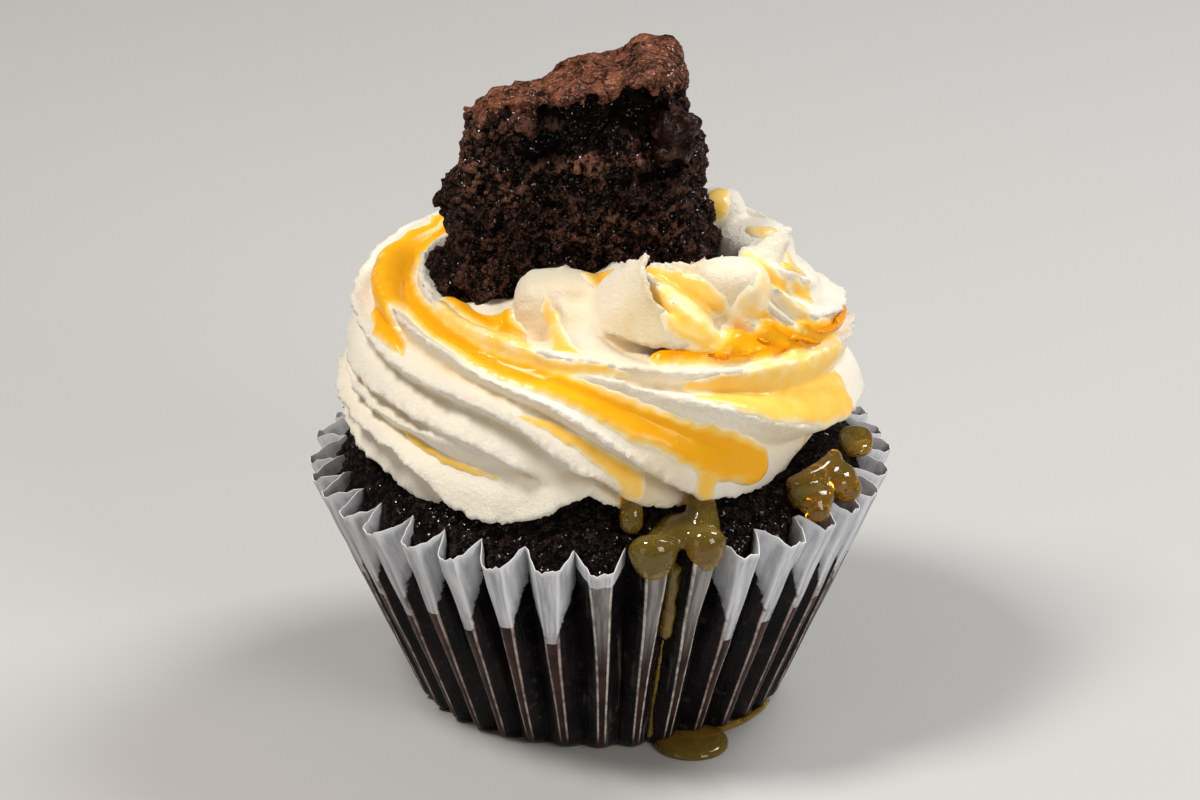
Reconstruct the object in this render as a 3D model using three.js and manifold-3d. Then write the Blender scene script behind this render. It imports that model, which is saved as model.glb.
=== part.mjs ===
// A caramel brownie cupcake: a chocolate cupcake baked in a pleated paper case, topped with
// buttercream piped in a rising spiral, with a broken chunk of brownie set on the top.
// Millimetres, +Z up. The origin is the middle of the flat foot of the paper case. The front
// of the cupcake, where the piping starts and ends, faces -Y.

import * as THREE from 'three';
import { mergeVertices } from 'three/addons/utils/BufferGeometryUtils.js';
import Module from 'manifold-3d';

const wasm = await Module();
wasm.setup();

// ---------------------------------------------------------------- driving dimensions
const GAP = 0.3;                  // air left between pieces that touch

const PLEATS = 35;                // folds round the paper case
const FOOT_RADIUS = 25;           // base of the case
const FOOT_ROUND = 1.2;           // rounding from the base into the wall
const RIM_RADIUS = 39.6;          // outer folds at the rim
const RIM_HEIGHT = 32.7;          // outer folds at the rim
const TIP_RISE = 1.7;             // the inner folds stand this much higher at the rim
const PLEAT_DEPTH_FOOT = 1.3;     // radial depth of the folds at the base
const PLEAT_DEPTH_RIM = 4.5;      // and at the rim
const PAPER_WALL = 0.4;           // wall of the case, over its flat outer strips
const STRIP_SHARE = 0.44;         // share of a pleat taken by its flat outer strip
const RIM_TILT = 0.4;             // the rim stands this much higher at +X than in the middle

const CAKE_BASE = 0.8;            // underside of the cake, just above the paper
const CAKE_FILL = 0.62;           // how far the cake fills the folds at the rim, 0 to 1
const DOME = [[33.4, 33.6], [32.6, 36.2], [29.5, 38.6], [21, 40.9], [10, 41.8], [0, 42]];

const AXIS_START = -5;            // azimuth where the piping starts, from the front, degrees
const CORE = { low: 18.5, high: 13, from: 38, to: 55 };   // cream inside the coil

const BROWNIE = { back: 12, front: -9, low: 57.5, high: 88.5 };

// ---------------------------------------------------------------- shared functions
const rad = THREE.MathUtils.degToRad;
const smooth = (t) => THREE.MathUtils.smoothstep(t, 0, 1);

// A smooth curve through [position, value, ...] keys, flat beyond both ends.
function through(keys, at, column = 1) {
  const last = keys.length - 1;
  const x = THREE.MathUtils.clamp(at, keys[0][0], keys[last][0]);
  let i = 0;
  while (i < last - 1 && x > keys[i + 1][0]) i += 1;
  const slope = (k) => {
    const a = Math.max(k - 1, 0);
    const b = Math.min(k + 1, last);
    return (keys[b][column] - keys[a][column]) / (keys[b][0] - keys[a][0]);
  };
  const h = keys[i + 1][0] - keys[i][0];
  const t = (x - keys[i][0]) / h;
  const t2 = t * t;
  const t3 = t2 * t;
  return (2 * t3 - 3 * t2 + 1) * keys[i][column] + (t3 - 2 * t2 + t) * h * slope(i)
    + (3 * t2 - 2 * t3) * keys[i + 1][column] + (t3 - t2) * h * slope(i + 1);
}

// Only positions, with the vertices that share a place merged.
function weld(geometry) {
  geometry.deleteAttribute('normal');
  geometry.deleteAttribute('uv');
  return mergeVertices(geometry, 1e-4);
}

// Moves every vertex by a rule, then turns the faces outwards if the rule turned them in.
function reshape(geometry, rule) {
  const welded = weld(geometry);
  const p = welded.attributes.position;
  const v = new THREE.Vector3();
  for (let i = 0; i < p.count; i += 1) {
    v.fromBufferAttribute(p, i);
    rule(v);
    p.setXYZ(i, v.x, v.y, v.z);
  }
  const index = welded.index.array;
  const corner = [new THREE.Vector3(), new THREE.Vector3(), new THREE.Vector3()];
  let volume = 0;
  for (let i = 0; i < index.length; i += 3) {
    corner.forEach((c, k) => c.fromBufferAttribute(p, index[i + k]));
    volume += corner[0].dot(corner[1].clone().cross(corner[2]));
  }
  if (volume < 0) {
    for (let i = 0; i < index.length; i += 3) {
      [index[i], index[i + 1]] = [index[i + 1], index[i]];
    }
  }
  return welded;
}

function solid(geometry) {
  return new wasm.Manifold(new wasm.Mesh({
    numProp: 3,
    vertProperties: new Float32Array(geometry.attributes.position.array),
    triVerts: new Uint32Array(geometry.index.array),
  }));
}

function fromSolid(manifold) {
  const mesh = manifold.getMesh();
  const geometry = new THREE.BufferGeometry();
  geometry.setAttribute('position', new THREE.BufferAttribute(mesh.vertProperties, 3));
  geometry.setIndex(new THREE.BufferAttribute(mesh.triVerts, 1));
  return geometry;
}

// A body turned about +Z from [radius, height] points, axis to axis.
function turned(points, segments) {
  const profile = points.map(([r, z]) => new THREE.Vector2(r, z));
  const geometry = new THREE.LatheGeometry(profile, segments);
  geometry.rotateX(Math.PI / 2);
  return geometry;
}

const group = new THREE.Group();

function piece(name, geometry, colour, roughness) {
  geometry.computeVertexNormals();
  const material = new THREE.MeshStandardMaterial({ color: colour, roughness, metalness: 0 });
  const mesh = new THREE.Mesh(geometry, material);
  mesh.name = name;
  group.add(mesh);
}

// ---------------------------------------------------------------- paper case
// One round of greaseproof paper pressed into pleats: flat strips on the outside, joined by
// flanks that meet in sharp folds on the inside. The pleats deepen from the base to the rim.
const LEVEL = (z) => THREE.MathUtils.clamp(z / RIM_HEIGHT, 0, 1);
const outerRadius = (level) => FOOT_RADIUS + (RIM_RADIUS - FOOT_RADIUS) * level;
const pleatDepth = (level) => PLEAT_DEPTH_FOOT + (PLEAT_DEPTH_RIM - PLEAT_DEPTH_FOOT) * level;

// Each pleat has four lines: mid strip, strip edge, inner fold, strip edge.
const LINES = 4;
const FOLD = [0, 0.04, 1, 0.04];               // share of the depth at each line
const LINE_AT = [0, STRIP_SHARE / 2, 0.5, 1 - STRIP_SHARE / 2];

// The uneven spread of the pleats round the case, in turns.
const spread = (turn) => turn + 0.0022 * Math.sin(2 * Math.PI * 3 * turn)
  + 0.0016 * Math.sin(2 * Math.PI * 8 * turn + 1);

function pleatLine(v) {
  const turn = Math.atan2(v.x, -v.y) / (2 * Math.PI);
  const line = Math.round(turn * PLEATS * LINES);
  const kind = ((line % LINES) + LINES) % LINES;
  const pleat = Math.floor(line / LINES);
  return { kind, azimuth: 2 * Math.PI * spread((pleat + LINE_AT[kind]) / PLEATS) };
}

const WALL_ROWS = [0.06, 0.5, 1];
const outside = [[0, 0], [FOOT_RADIUS - FOOT_ROUND - PLEAT_DEPTH_FOOT, 0]];
WALL_ROWS.forEach((level) => outside.push([outerRadius(level), level * RIM_HEIGHT]));
const inside = [...WALL_ROWS].reverse().map((level) => [
  outerRadius(level) - PAPER_WALL, level * RIM_HEIGHT]);
const floorEdge = FOOT_RADIUS - FOOT_ROUND - PLEAT_DEPTH_FOOT - PAPER_WALL;
const caseProfile = [...outside, ...inside, [floorEdge, PAPER_WALL], [0, PAPER_WALL]];

const paperCase = reshape(turned(caseProfile, PLEATS * LINES), (v) => {
  const radius = Math.hypot(v.x, v.y);
  if (radius < 1e-6) return;
  const { kind, azimuth } = pleatLine(v);
  const level = LEVEL(v.z);
  const isWall = radius > FOOT_RADIUS - 1;
  const isInner = isWall && radius < outerRadius(level) - PAPER_WALL / 2;
  const share = FOLD[kind];
  const flank = isInner ? share * PAPER_WALL * 1.4 : 0;
  const r = isWall ? radius - pleatDepth(level) * share - flank : radius;
  const lift = level * level * (TIP_RISE * share + RIM_TILT * Math.sin(azimuth));
  v.set(r * Math.sin(azimuth), -r * Math.cos(azimuth), v.z + lift);
});

// ---------------------------------------------------------------- cake
// Chocolate sponge that rose in the case: its side is ribbed where it swelled into the folds,
// and its top is a low dome, which carries the cream.
const RIB_LINES = 2;
const cakeWall = [0, 0.5, 0.94].map((level) => [level, CAKE_BASE + level * RIM_HEIGHT]);
const cakeRadius = (level) => outerRadius(level) - pleatDepth(level) - PAPER_WALL * 2.4 - GAP;
const cakeProfile = [[0, CAKE_BASE]];
cakeWall.forEach(([level, z]) => cakeProfile.push([cakeRadius(level) - (level ? 0 : 1.4), z]));
DOME.forEach((point) => cakeProfile.push(point));

const cake = reshape(turned(cakeProfile, PLEATS * RIB_LINES), (v) => {
  const radius = Math.hypot(v.x, v.y);
  if (radius < 1e-6) return;
  const turn = Math.atan2(v.x, -v.y) / (2 * Math.PI);
  const line = Math.round(turn * PLEATS * RIB_LINES);
  const azimuth = 2 * Math.PI * spread(line / (PLEATS * RIB_LINES));
  const level = LEVEL(v.z - CAKE_BASE);
  const isSide = v.z < cakeWall[2][1] + 0.01 && level > 0;
  const isRib = line % RIB_LINES === 0;
  const r = radius + (isSide && isRib ? pleatDepth(level) * CAKE_FILL : 0);
  v.set(r * Math.sin(azimuth), -r * Math.cos(azimuth), v.z);
});

// ---------------------------------------------------------------- brownie
// A chunk broken from a tray of brownie: a flat, slightly overhanging crust on top, a torn
// crumb face in front and behind, and sides that spread towards the bottom.
const LEFT_EDGE = [[57.5, -20.5], [61, -23.6], [64, -24.4], [68, -21.4], [74, -20.8], [78, -22.6],
  [81, -20.4], [86, -19.2], [88.5, -17.6]];
const RIGHT_EDGE = [[57.5, 15], [65, 16], [72, 15], [76, 13.6], [79, 14.8], [84, 12.8], [88.5, 11.6]];
const TOP_EDGE = [[-18, -3.4], [-12, -0.8], [-2, 0.4], [5, 1.2], [8.5, 3.6], [11, 2.4], [13, -1.5]];

const lumps = (x, y, z) => Math.sin(0.62 * x + 1.3 * z) * Math.sin(0.55 * y + 0.4 * z + 1)
  + 0.6 * Math.sin(1.1 * x - 0.7 * y + 0.9 * z + 2);

const chunk = new THREE.BoxGeometry(2, 2, 2, 10, 6, 9);
const brownie = reshape(chunk, (v) => {
  const z = THREE.MathUtils.lerp(BROWNIE.low, BROWNIE.high, (v.z + 1) / 2);
  const left = through(LEFT_EDGE, z);
  const right = through(RIGHT_EDGE, z);
  const round = 1 - 0.1 * v.y * v.y * v.x * v.x;
  const x = THREE.MathUtils.lerp(left, right, (v.x * round + 1) / 2);
  const taper = 1 - 0.05 * (v.z + 1);
  const y = THREE.MathUtils.lerp(BROWNIE.front, BROWNIE.back, (v.y * round * taper + 1) / 2);
  const top = smooth((v.z - 0.2) / 0.8) * through(TOP_EDGE, x) * (0.6 + 0.4 * v.y);
  const rough = 0.55 * lumps(x, y, z);
  v.set(x + rough * v.x, y + rough * v.y + 0.12 * (x + 4), z + top + 0.4 * rough * v.z);
});

// ---------------------------------------------------------------- frosting
// Buttercream from a large open star nozzle, piped as one rope that winds a little over two
// turns clockwise, seen from above. The rope starts at the front, goes round the edge of the
// cake, climbs over its own start and ends as a small third turn on the top, at the front.
// Its path is given by how far it has wound, in degrees: the ring's radius and height, and
// the half width and half height of the rope there.
const ROPE = [
  [-16, 25.5, 41, 5, 5], [-6, 25.5, 41.3, 8.8, 8], [10, 25.5, 41.5, 10.2, 10.2],
  [25, 25.8, 41.8, 10.5, 10.6], [45, 26, 43.2, 10.2, 9.6], [90, 26.4, 44.4, 10, 8.6],
  [180, 26.2, 45.5, 9.6, 8.2], [255, 26.8, 47, 9.9, 9], [285, 26.5, 47.2, 10, 9.6],
  [310, 26, 47.2, 10.6, 10.6], [335, 25.4, 48, 11.2, 11.6], [360, 25, 49.4, 11.4, 11.4],
  [400, 24.8, 51.2, 11.1, 10.4], [450, 24.6, 52.6, 11, 10.4], [540, 23.4, 53.5, 10.2, 10],
  [590, 22, 54.2, 10.2, 9.6], [615, 23, 54.6, 11, 9.8], [640, 22.2, 56.4, 10.6, 10],
  [670, 17.6, 57.8, 10, 9.6], [700, 13.4, 58, 9.8, 9], [730, 11.4, 58, 9.6, 8.2],
  [750, 10.6, 57.6, 9.2, 7.8], [762, 10.2, 57.2, 8, 7], [770, 10, 57, 4, 4],
];

// Twelve ridges, left by the nozzle's teeth, run the whole length of the rope and twist round
// it as it winds. They are listed in their order round the rope. The keys are [how far it has
// wound, angle round the rope, height of the ridge]: angle 0 faces out and 90 faces up. The
// floor is where the groove above the ridge is deepest, as a share of the way to the next.
const RIDGES = [
  { floor: 0.5, keys: [
    [-16, -62, 2.2], [20, -62, 2.4], [35, -56, 2.4], [70, -28, 2.2], [180, -5, 2.2], [240, 20, 2.2],
    [285, 46, 2.2], [375, 69, 2.2], [540, 130, 2], [640, 195, 1], [660, 222, 0], [770, 330, 0],
  ] },
  { floor: 0.5, keys: [
    [-16, -24, 2.2], [30, -27, 2.2], [38, -12, 2.2], [47, 1, 2.2], [90, 4, 2.2], [180, 28, 2.2],
    [270, 66, 2], [330, 92, 1], [640, 246, 0], [680, 280, 0], [715, 310, 1.5], [736, 337, 2.2],
    [745, 358, 2.2], [752.5, 400, 2.2], [757, 445, 2.2], [762, 480, 2.2],
  ] },
  { floor: 0.2, keys: [
    [-16, 32, 2], [12, 37, 2], [55, 23, 2], [180, 58, 2.2], [270, 98, 2], [330, 122, 0],
    [640, 282, 1], [680, 310, 2], [705, 339, 2.2], [725.5, 376, 2.2], [734, 406, 2.2],
    [738, 433, 2.2], [750, 490, 2], [770, 510, 2],
  ] },
  { floor: 0.5, keys: [
    [-16, 66, 1], [90, 62, 1], [180, 90, 1], [330, 150, 0], [640, 312, 2], [665, 342, 3],
    [683, 375, 3.2], [690.5, 397, 3.6], [693, 421, 4], [695, 440, 4], [696.5, 462, 3.5],
    [705, 490, 2], [770, 530, 0],
  ] },
  { floor: 0.5, keys: [
    [-16, 96, 0], [180, 120, 0], [330, 178, 0], [600, 296, 1.5], [645, 330, 2], [655, 345, 2.1],
    [669, 380, 2.1], [673, 398, 2.1], [681, 453, 2.1], [690, 495, 1], [770, 550, 0],
  ] },
  { floor: 0.5, keys: [
    [-16, 126, 0], [180, 150, 0], [330, 205, 0], [540, 290, 1.5], [600, 322, 2], [640, 340, 2.1],
    [656, 373, 2.1], [662, 398, 2.1], [669, 440, 2.1], [676, 470, 2], [690, 500, 0], [770, 570, 0],
  ] },
  { floor: 0.5, keys: [
    [-16, 156, 0], [180, 182, 0], [330, 232, 0], [500, 288, 1.5], [540, 322, 2.2], [600, 358, 2.2],
    [640, 365, 2.2], [650, 374, 2.2], [653.5, 394, 2.2], [657, 435, 2.2], [664, 470, 2],
    [680, 497, 0], [770, 590, 0],
  ] },
  { floor: 0.5, keys: [
    [-16, 186, 0], [330, 256, 0], [430, 298, 2], [500, 330, 2.2], [540, 358, 2.2], [580, 380, 1.5],
    [605, 388, 0.4], [632, 394, 0.4], [641, 402, 1.6], [648, 420, 2.2], [656, 460, 2],
    [664, 488, 1], [680, 514, 0], [770, 605, 0],
  ] },
  { floor: 0.5, keys: [
    [-16, 214, 0], [330, 274, 0], [360, 300, 1.5], [375, 338, 2], [405, 348, 2], [445, 342, 2],
    [500, 370, 2.2], [600, 422, 2.4], [632, 444, 3.6], [642, 456, 2], [660, 500, 0], [770, 620, 0],
  ] },
  { floor: 0.5, keys: [
    [-16, 240, 0], [300, 276, 0], [325, 288, 1.5], [355, 334, 2.2], [375, 373, 2.2],
    [405, 382, 2.2], [540, 422, 2.2], [600, 452, 2], [640, 484, 1], [660, 522, 0], [770, 635, 0],
  ] },
  { floor: 0.5, keys: [
    [-16, 262, 0], [180, 293, 1], [270, 290, 1], [300, 294, 1.5], [330, 322, 2.2], [342, 346, 2.3],
    [364, 385, 2.3], [385, 400, 2.3], [398, 410, 2.3], [450, 422, 2.3], [540, 455, 2.2],
    [640, 510, 0], [660, 542, 0], [770, 650, 0],
  ] },
  { floor: 0.5, keys: [
    [-16, 280, 0], [60, 290, 2], [90, 305, 2], [180, 328, 2.2], [240, 330, 2.2], [265, 335, 2.4],
    [283, 346, 2.5], [301, 356, 2.5], [330, 393, 2.4], [355, 414, 2], [362, 418, 1], [375, 414, 0],
    [640, 530, 0], [660, 558, 0], [770, 665, 0],
  ] },
];
const GROOVE = 2.3;               // depth of a groove floor below the rope's full size
const FLANK_SAG = 0.35;           // how little a flank has risen half way up to its crest

// The star section at one place: the angle and rise of each crest, of the groove floor above
// it and, where a finer section is wanted, of the flank from there up to the next crest.
function section(wound, fine) {
  const crests = RIDGES.map((ridge) => through(ridge.keys, wound));
  const rises = RIDGES.map((ridge) => Math.max(through(ridge.keys, wound, 2), 0) - GROOVE);
  crests.push(crests[0] + 360);
  rises.push(rises[0]);
  return RIDGES.flatMap((ridge, k) => {
    const crest = { angle: crests[k], rise: rises[k] };
    const floor = { angle: THREE.MathUtils.lerp(crests[k], crests[k + 1], ridge.floor), rise: -GROOVE };
    const flank = {
      angle: (floor.angle + crests[k + 1]) / 2,
      rise: THREE.MathUtils.lerp(-GROOVE, rises[k + 1], FLANK_SAG),
    };
    return fine ? [crest, floor, flank] : [crest, floor];
  });
}

// A stretch of the rope as a closed tube: a cylinder whose lines follow the ridges.
function ropeStretch({ from, to, steps, fine }) {
  const lines = RIDGES.length * (fine ? 3 : 2);
  const tube = new THREE.CylinderGeometry(1, 1, 1, lines, steps);
  return reshape(tube, (v) => {
    const wound = THREE.MathUtils.lerp(from, to, v.y + 0.5);
    const reach = Math.min(Math.hypot(v.x, v.z), 1);
    const line = Math.round(Math.atan2(v.z, v.x) / (2 * Math.PI) * lines);
    const { angle, rise } = section(wound, fine)[THREE.MathUtils.euclideanModulo(line, lines)];
    const ring = through(ROPE, wound);
    const halfWidth = through(ROPE, wound, 3) + rise;
    const halfHeight = through(ROPE, wound, 4) + rise;
    const out = Math.cos(rad(angle));
    const r = ring + reach * out * (out > 0 ? halfWidth : Math.min(halfWidth, 0.92 * ring));
    const azimuth = rad(AXIS_START - wound);
    const z = through(ROPE, wound, 2) + reach * Math.sin(rad(angle)) * halfHeight;
    v.set(r * Math.sin(azimuth), -r * Math.cos(azimuth), z);
  });
}

// The rope is joined from stretches, none of which meets itself. Where two of them follow on,
// they share one section, so that no seam shows.
const STRETCHES = [
  { from: -16, to: 170, steps: 13 },
  { from: 170, to: 345, steps: 12 },
  { from: 345, to: 500, steps: 13 },
  { from: 500, to: 640, steps: 9 },
  { from: 640, to: 770, steps: 22, fine: true },
];
let cream = solid(ropeStretch(STRETCHES[0]));
for (const stretch of STRETCHES.slice(1)) cream = cream.add(solid(ropeStretch(stretch)));
const core = new THREE.CylinderGeometry(CORE.high, CORE.low, CORE.to - CORE.from, 24);
core.rotateX(Math.PI / 2);
core.translate(0, 0, (CORE.from + CORE.to) / 2);
cream = cream.add(solid(weld(core)));

// Room for the cake below, for the rim of the case round it, and for the brownie on top.
const room = [[0, -1], [42, -1], [42, RIM_HEIGHT + 3], [DOME[0][0] + 1, RIM_HEIGHT + 3]];
DOME.slice(1).forEach(([r, z]) => room.push([r ? r + GAP : 0, z + GAP]));
cream = cream.subtract(solid(weld(turned(room, 48))));
const seat = brownie.clone();
seat.translate(0, 0, -72);
seat.scale(1.025, 1.04, 1.03);
seat.translate(0, 0, 72);
cream = cream.subtract(solid(seat));
const frosting = fromSolid(cream.decompose().sort((a, b) => b.volume() - a.volume())[0]);

// ---------------------------------------------------------------- the cupcake
piece('paper_case', paperCase, '#d9dbe0', 0.55);
piece('cake', cake, '#1c1210', 0.6);
piece('frosting', frosting, '#f6ecd8', 0.55);
piece('brownie', brownie, '#3a1c14', 0.65);

export default group;
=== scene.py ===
import math

import bmesh
import bpy
import numpy as np
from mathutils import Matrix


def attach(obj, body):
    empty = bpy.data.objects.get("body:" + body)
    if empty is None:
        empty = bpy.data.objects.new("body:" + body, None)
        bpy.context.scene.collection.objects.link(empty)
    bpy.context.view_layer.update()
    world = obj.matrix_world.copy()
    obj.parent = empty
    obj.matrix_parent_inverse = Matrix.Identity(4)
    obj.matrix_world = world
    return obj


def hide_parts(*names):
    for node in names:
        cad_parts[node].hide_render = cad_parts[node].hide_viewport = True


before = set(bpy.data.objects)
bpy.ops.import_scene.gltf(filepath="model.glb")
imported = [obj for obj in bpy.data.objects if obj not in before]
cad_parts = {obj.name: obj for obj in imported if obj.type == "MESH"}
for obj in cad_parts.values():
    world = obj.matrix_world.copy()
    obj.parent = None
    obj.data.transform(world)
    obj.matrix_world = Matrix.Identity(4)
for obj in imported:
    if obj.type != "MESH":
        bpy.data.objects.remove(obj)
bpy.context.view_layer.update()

# A caramel brownie cupcake, put together from the table up: paper case, chocolate cake, piped
# buttercream, brownie chunk and caramel sauce. Sizes are in millimetres, times MM for Blender.
MM = 0.001
bpy.ops.object.select_all(action="DESELECT")


# ------------------------------------------------------------------------------ paper case
# A round of white greaseproof paper pressed into pleats in a muffin tin. Each pleat is a flat
# strip outside, with two flanks that meet in a sharp fold inside. Where the cake has soaked
# the paper it is clear and dark; where it stands free, at the rim, it is milky white.
PLEATS = 35
PLEAT_LINES = 16                 # lines of the mesh across one pleat
CASE_ROWS = 44                   # and rows from the foot to the rim
FOOT_RADIUS = 25.0
RIM_RADIUS = 39.6                # outer strips at the rim
RIM_HEIGHT = 32.7
FOLD_RISE = 1.7                  # the inner folds stand higher than the strips at the rim
DEPTH_FOOT = 1.3                 # depth of a pleat at the foot
DEPTH_RIM = 4.5
PAPER = 0.14                     # thickness of the paper
STRIP_FOOT = 0.19                # how much of a pleat its outer strip takes, at the foot
STRIP_RIM = 0.42                 # and at the rim
FRONT_PLEAT = 17                 # the number of the pleat that faces the front
UNEVEN_SPREAD = [(3, 0.0022, 0), (8, 0.0016, 1)]          # waves round it, their shift and start
FOOT_ROUNDING = 1.2              # the wall rounds in to the flat foot over this height
FOOT_TUCK = 0.035                # and by this share of the radius


def add_cylinder(name, sides):
    """An upright cylinder, 1 mm in radius and height, with its middle at the origin."""
    bpy.ops.mesh.primitive_cylinder_add(vertices=sides, radius=MM, depth=MM, end_fill_type="TRIFAN")
    piece = bpy.context.object
    piece.name = piece.data.name = name
    return piece


def cut_rows(piece, cuts):
    """Cut all upright edges of such a cylinder into rows."""
    bpy.ops.object.mode_set(mode="EDIT")
    mesh = bmesh.from_edit_mesh(piece.data)
    bpy.ops.mesh.select_all(action="DESELECT")
    bpy.ops.mesh.select_mode(type="EDGE")
    for edge in mesh.edges:
        low, high = edge.verts
        edge.select_set(abs(low.co.z - high.co.z) > 1e-7)
    bmesh.update_edit_mesh(piece.data)
    bpy.ops.mesh.subdivide(number_cuts=cuts)
    bpy.ops.object.mode_set(mode="OBJECT")


def vertices_of(piece):
    """Where the piece's vertices are, in millimetres, one row each."""
    flat = np.empty(len(piece.data.vertices) * 3)
    piece.data.vertices.foreach_get("co", flat)
    return flat.reshape(-1, 3) / MM


def move_vertices(piece, places):
    piece.data.vertices.foreach_set("co", (places * MM).ravel())
    piece.data.update()


def cylinder_places(piece):
    """Of each vertex: turns round from the front, share of the height, and 0 or 1 out."""
    x, y, z = vertices_of(piece).T
    return np.arctan2(x, -y) / (2 * np.pi), z + 0.5, np.minimum(np.hypot(x, y), 1.0)


def on_ring(radius, azimuth, height):
    """Places from their radius, their angle from the front and their height."""
    return np.stack([radius * np.sin(azimuth), -radius * np.cos(azimuth), height], axis=-1)


def delete_parts(piece, kind, chosen):
    """Delete the corners ("VERT") or faces ("FACE") that a function picks from a piece's mesh."""
    bpy.ops.object.mode_set(mode="EDIT")
    bpy.ops.mesh.select_mode(type=kind)
    bpy.ops.mesh.select_all(action="DESELECT")
    mesh = bmesh.from_edit_mesh(piece.data)
    for part in chosen(mesh):
        part.select_set(True)
    bmesh.update_edit_mesh(piece.data)
    bpy.ops.mesh.delete(type=kind)
    bpy.ops.object.mode_set(mode="OBJECT")


def apply_modifier(piece, kind, **settings):
    modifier = piece.modifiers.new(kind.title(), kind)
    for name, value in settings.items():
        setattr(modifier, name, value)
    bpy.context.view_layer.objects.active = piece
    bpy.ops.object.modifier_apply(modifier=modifier.name)


def blend_step(value, low, high):
    """0 up to low, 1 from high on, and an S-shaped rise between."""
    t = np.clip((value - low) / (high - low), 0.0, 1.0)
    return t * t * (3.0 - 2.0 * t)


def pleat_spread(turn):
    """The uneven spread of the pleats round the case, in turns from the front."""
    return turn + sum(shift * np.sin(2 * np.pi * waves * turn + start)
                      for waves, shift, start in UNEVEN_SPREAD)


def pleated(turn, level):
    """A place on the paper, from turns round the case and level, 0 at the foot to 1 at the rim."""
    pleat = np.floor(turn * PLEATS + 0.5)
    across = np.abs(turn * PLEATS - pleat) * 2.0          # 0 mid strip, 1 at the inner fold
    strip = STRIP_FOOT + (STRIP_RIM - STRIP_FOOT) * level ** 2
    into = np.clip((across - strip) / (1.0 - strip), 0.0, 1.0)
    # the strip's edge is a little proud, and each pleat bows and leans in its own way
    round_off = 0.06 * np.exp(-((across - strip) / 0.14) ** 2)
    share = into + round_off - 0.03 * np.exp(-(into / 0.1) ** 2)
    bow = 0.10 * np.sin(pleat * 2.7 + 9 * level) + 0.08 * np.sin(pleat * 5.1 + 21 * level + turn * 90)
    lean = 0.006 * level * np.sin(pleat * 3.9 + 5 * level)
    depth = DEPTH_FOOT + (DEPTH_RIM - DEPTH_FOOT) * level
    radius = FOOT_RADIUS + (RIM_RADIUS - FOOT_RADIUS) * level - depth * share + bow * level
    azimuth = 2 * np.pi * pleat_spread(turn) + lean
    ragged = 0.22 * np.sin(pleat * 4.3) + 0.22 * np.sin(turn * 640 + pleat) + 0.14 * np.sin(turn * 1500)
    height = RIM_HEIGHT * level + level ** 2 * (
        FOLD_RISE * into ** 0.8 + 0.4 * np.sin(azimuth) + ragged * level ** 6)
    return on_ring(radius, azimuth, height)


paper_case = add_cylinder("greaseproof_case", PLEATS * PLEAT_LINES)
cut_rows(paper_case, CASE_ROWS - 1)
turn, level, reach = cylinder_places(paper_case)
places = pleated(turn, level)
curl = np.clip(1.0 - places[:, 2] / FOOT_ROUNDING, 0.0, 1.0)
places[:, :2] *= (1.0 - FOOT_TUCK * curl ** 2)[:, None]
places[reach < 0.5] = (0.0, 0.0, 0.0)                     # the middle of the foot
move_vertices(paper_case, places)

# Its map counts the pleats one way and the height the other; the last pleat reads on at the seam.
pattern = paper_case.data.uv_layers.new(name="pleats")
corners = np.empty(len(paper_case.data.loops), dtype=int)
paper_case.data.loops.foreach_get("vertex_index", corners)
across = turn[corners] * PLEATS + PLEATS / 2
face_of = np.repeat(np.arange(len(paper_case.data.polygons)),
                    [face.loop_total for face in paper_case.data.polygons])
widest = np.full(len(paper_case.data.polygons), -1e9)
np.maximum.at(widest, face_of, across)
across = np.where(widest[face_of] - across > PLEATS / 2, across + PLEATS, across)
pattern.data.foreach_set("uv", np.stack([across, level[corners]], axis=-1).ravel())

delete_parts(paper_case, "FACE", lambda mesh: [             # the top is open
    face for face in mesh.faces
    if len(face.verts) == 3 and max(corner.co.z for corner in face.verts) > RIM_HEIGHT / 2 * MM])
bpy.ops.object.mode_set(mode="EDIT")
bpy.ops.mesh.select_all(action="SELECT")
bpy.ops.mesh.normals_make_consistent(inside=False)
bpy.ops.object.mode_set(mode="OBJECT")
apply_modifier(paper_case, "SOLIDIFY", thickness=PAPER * MM, offset=-1.0)
bpy.ops.object.shade_smooth_by_angle(angle=math.radians(50))


def new_material(name, roughness, specular=0.5):
    """A material of one Principled shader, whose colour the caller links."""
    material = bpy.data.materials.new(name)
    material.use_nodes = True
    shader = material.node_tree.nodes["Principled BSDF"]
    shader.inputs["Roughness"].default_value = roughness
    shader.inputs["Specular IOR Level"].default_value = specular
    return material, material.node_tree, shader


def node(tree, kind, **settings):
    made = tree.nodes.new(kind)
    for name, value in settings.items():
        setattr(made, name, value)
    return made


def link(tree, value, socket):
    """Set a socket to a number or a colour, or link it to another socket."""
    if isinstance(value, bpy.types.NodeSocket):
        tree.links.new(value, socket)
    else:
        socket.default_value = value


def object_place(tree):
    return node(tree, "ShaderNodeTexCoord").outputs["Object"]


def math_node(tree, operation, *values):
    made = node(tree, "ShaderNodeMath", operation=operation)
    for socket, value in zip(made.inputs, values):
        link(tree, value, socket)
    return made.outputs[0]


def product(tree, first, *factors):
    for factor in factors:
        first = math_node(tree, "MULTIPLY", first, factor)
    return first


def swing(tree, pattern, size):
    """A pattern of 0 to 1 as one that swings evenly about 0, over this size."""
    return math_node(tree, "MULTIPLY", math_node(tree, "SUBTRACT", pattern, 0.5), size)


def ramp_between(tree, value, low, high, to_low=0.0, to_high=1.0):
    """A soft ramp from one number to another, while the value goes from low to high."""
    made = node(tree, "ShaderNodeMapRange", interpolation_type="SMOOTHSTEP")
    for socket, number in zip(made.inputs[:5], (value, low, high, to_low, to_high)):
        link(tree, number, socket)
    return made.outputs[0]


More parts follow.
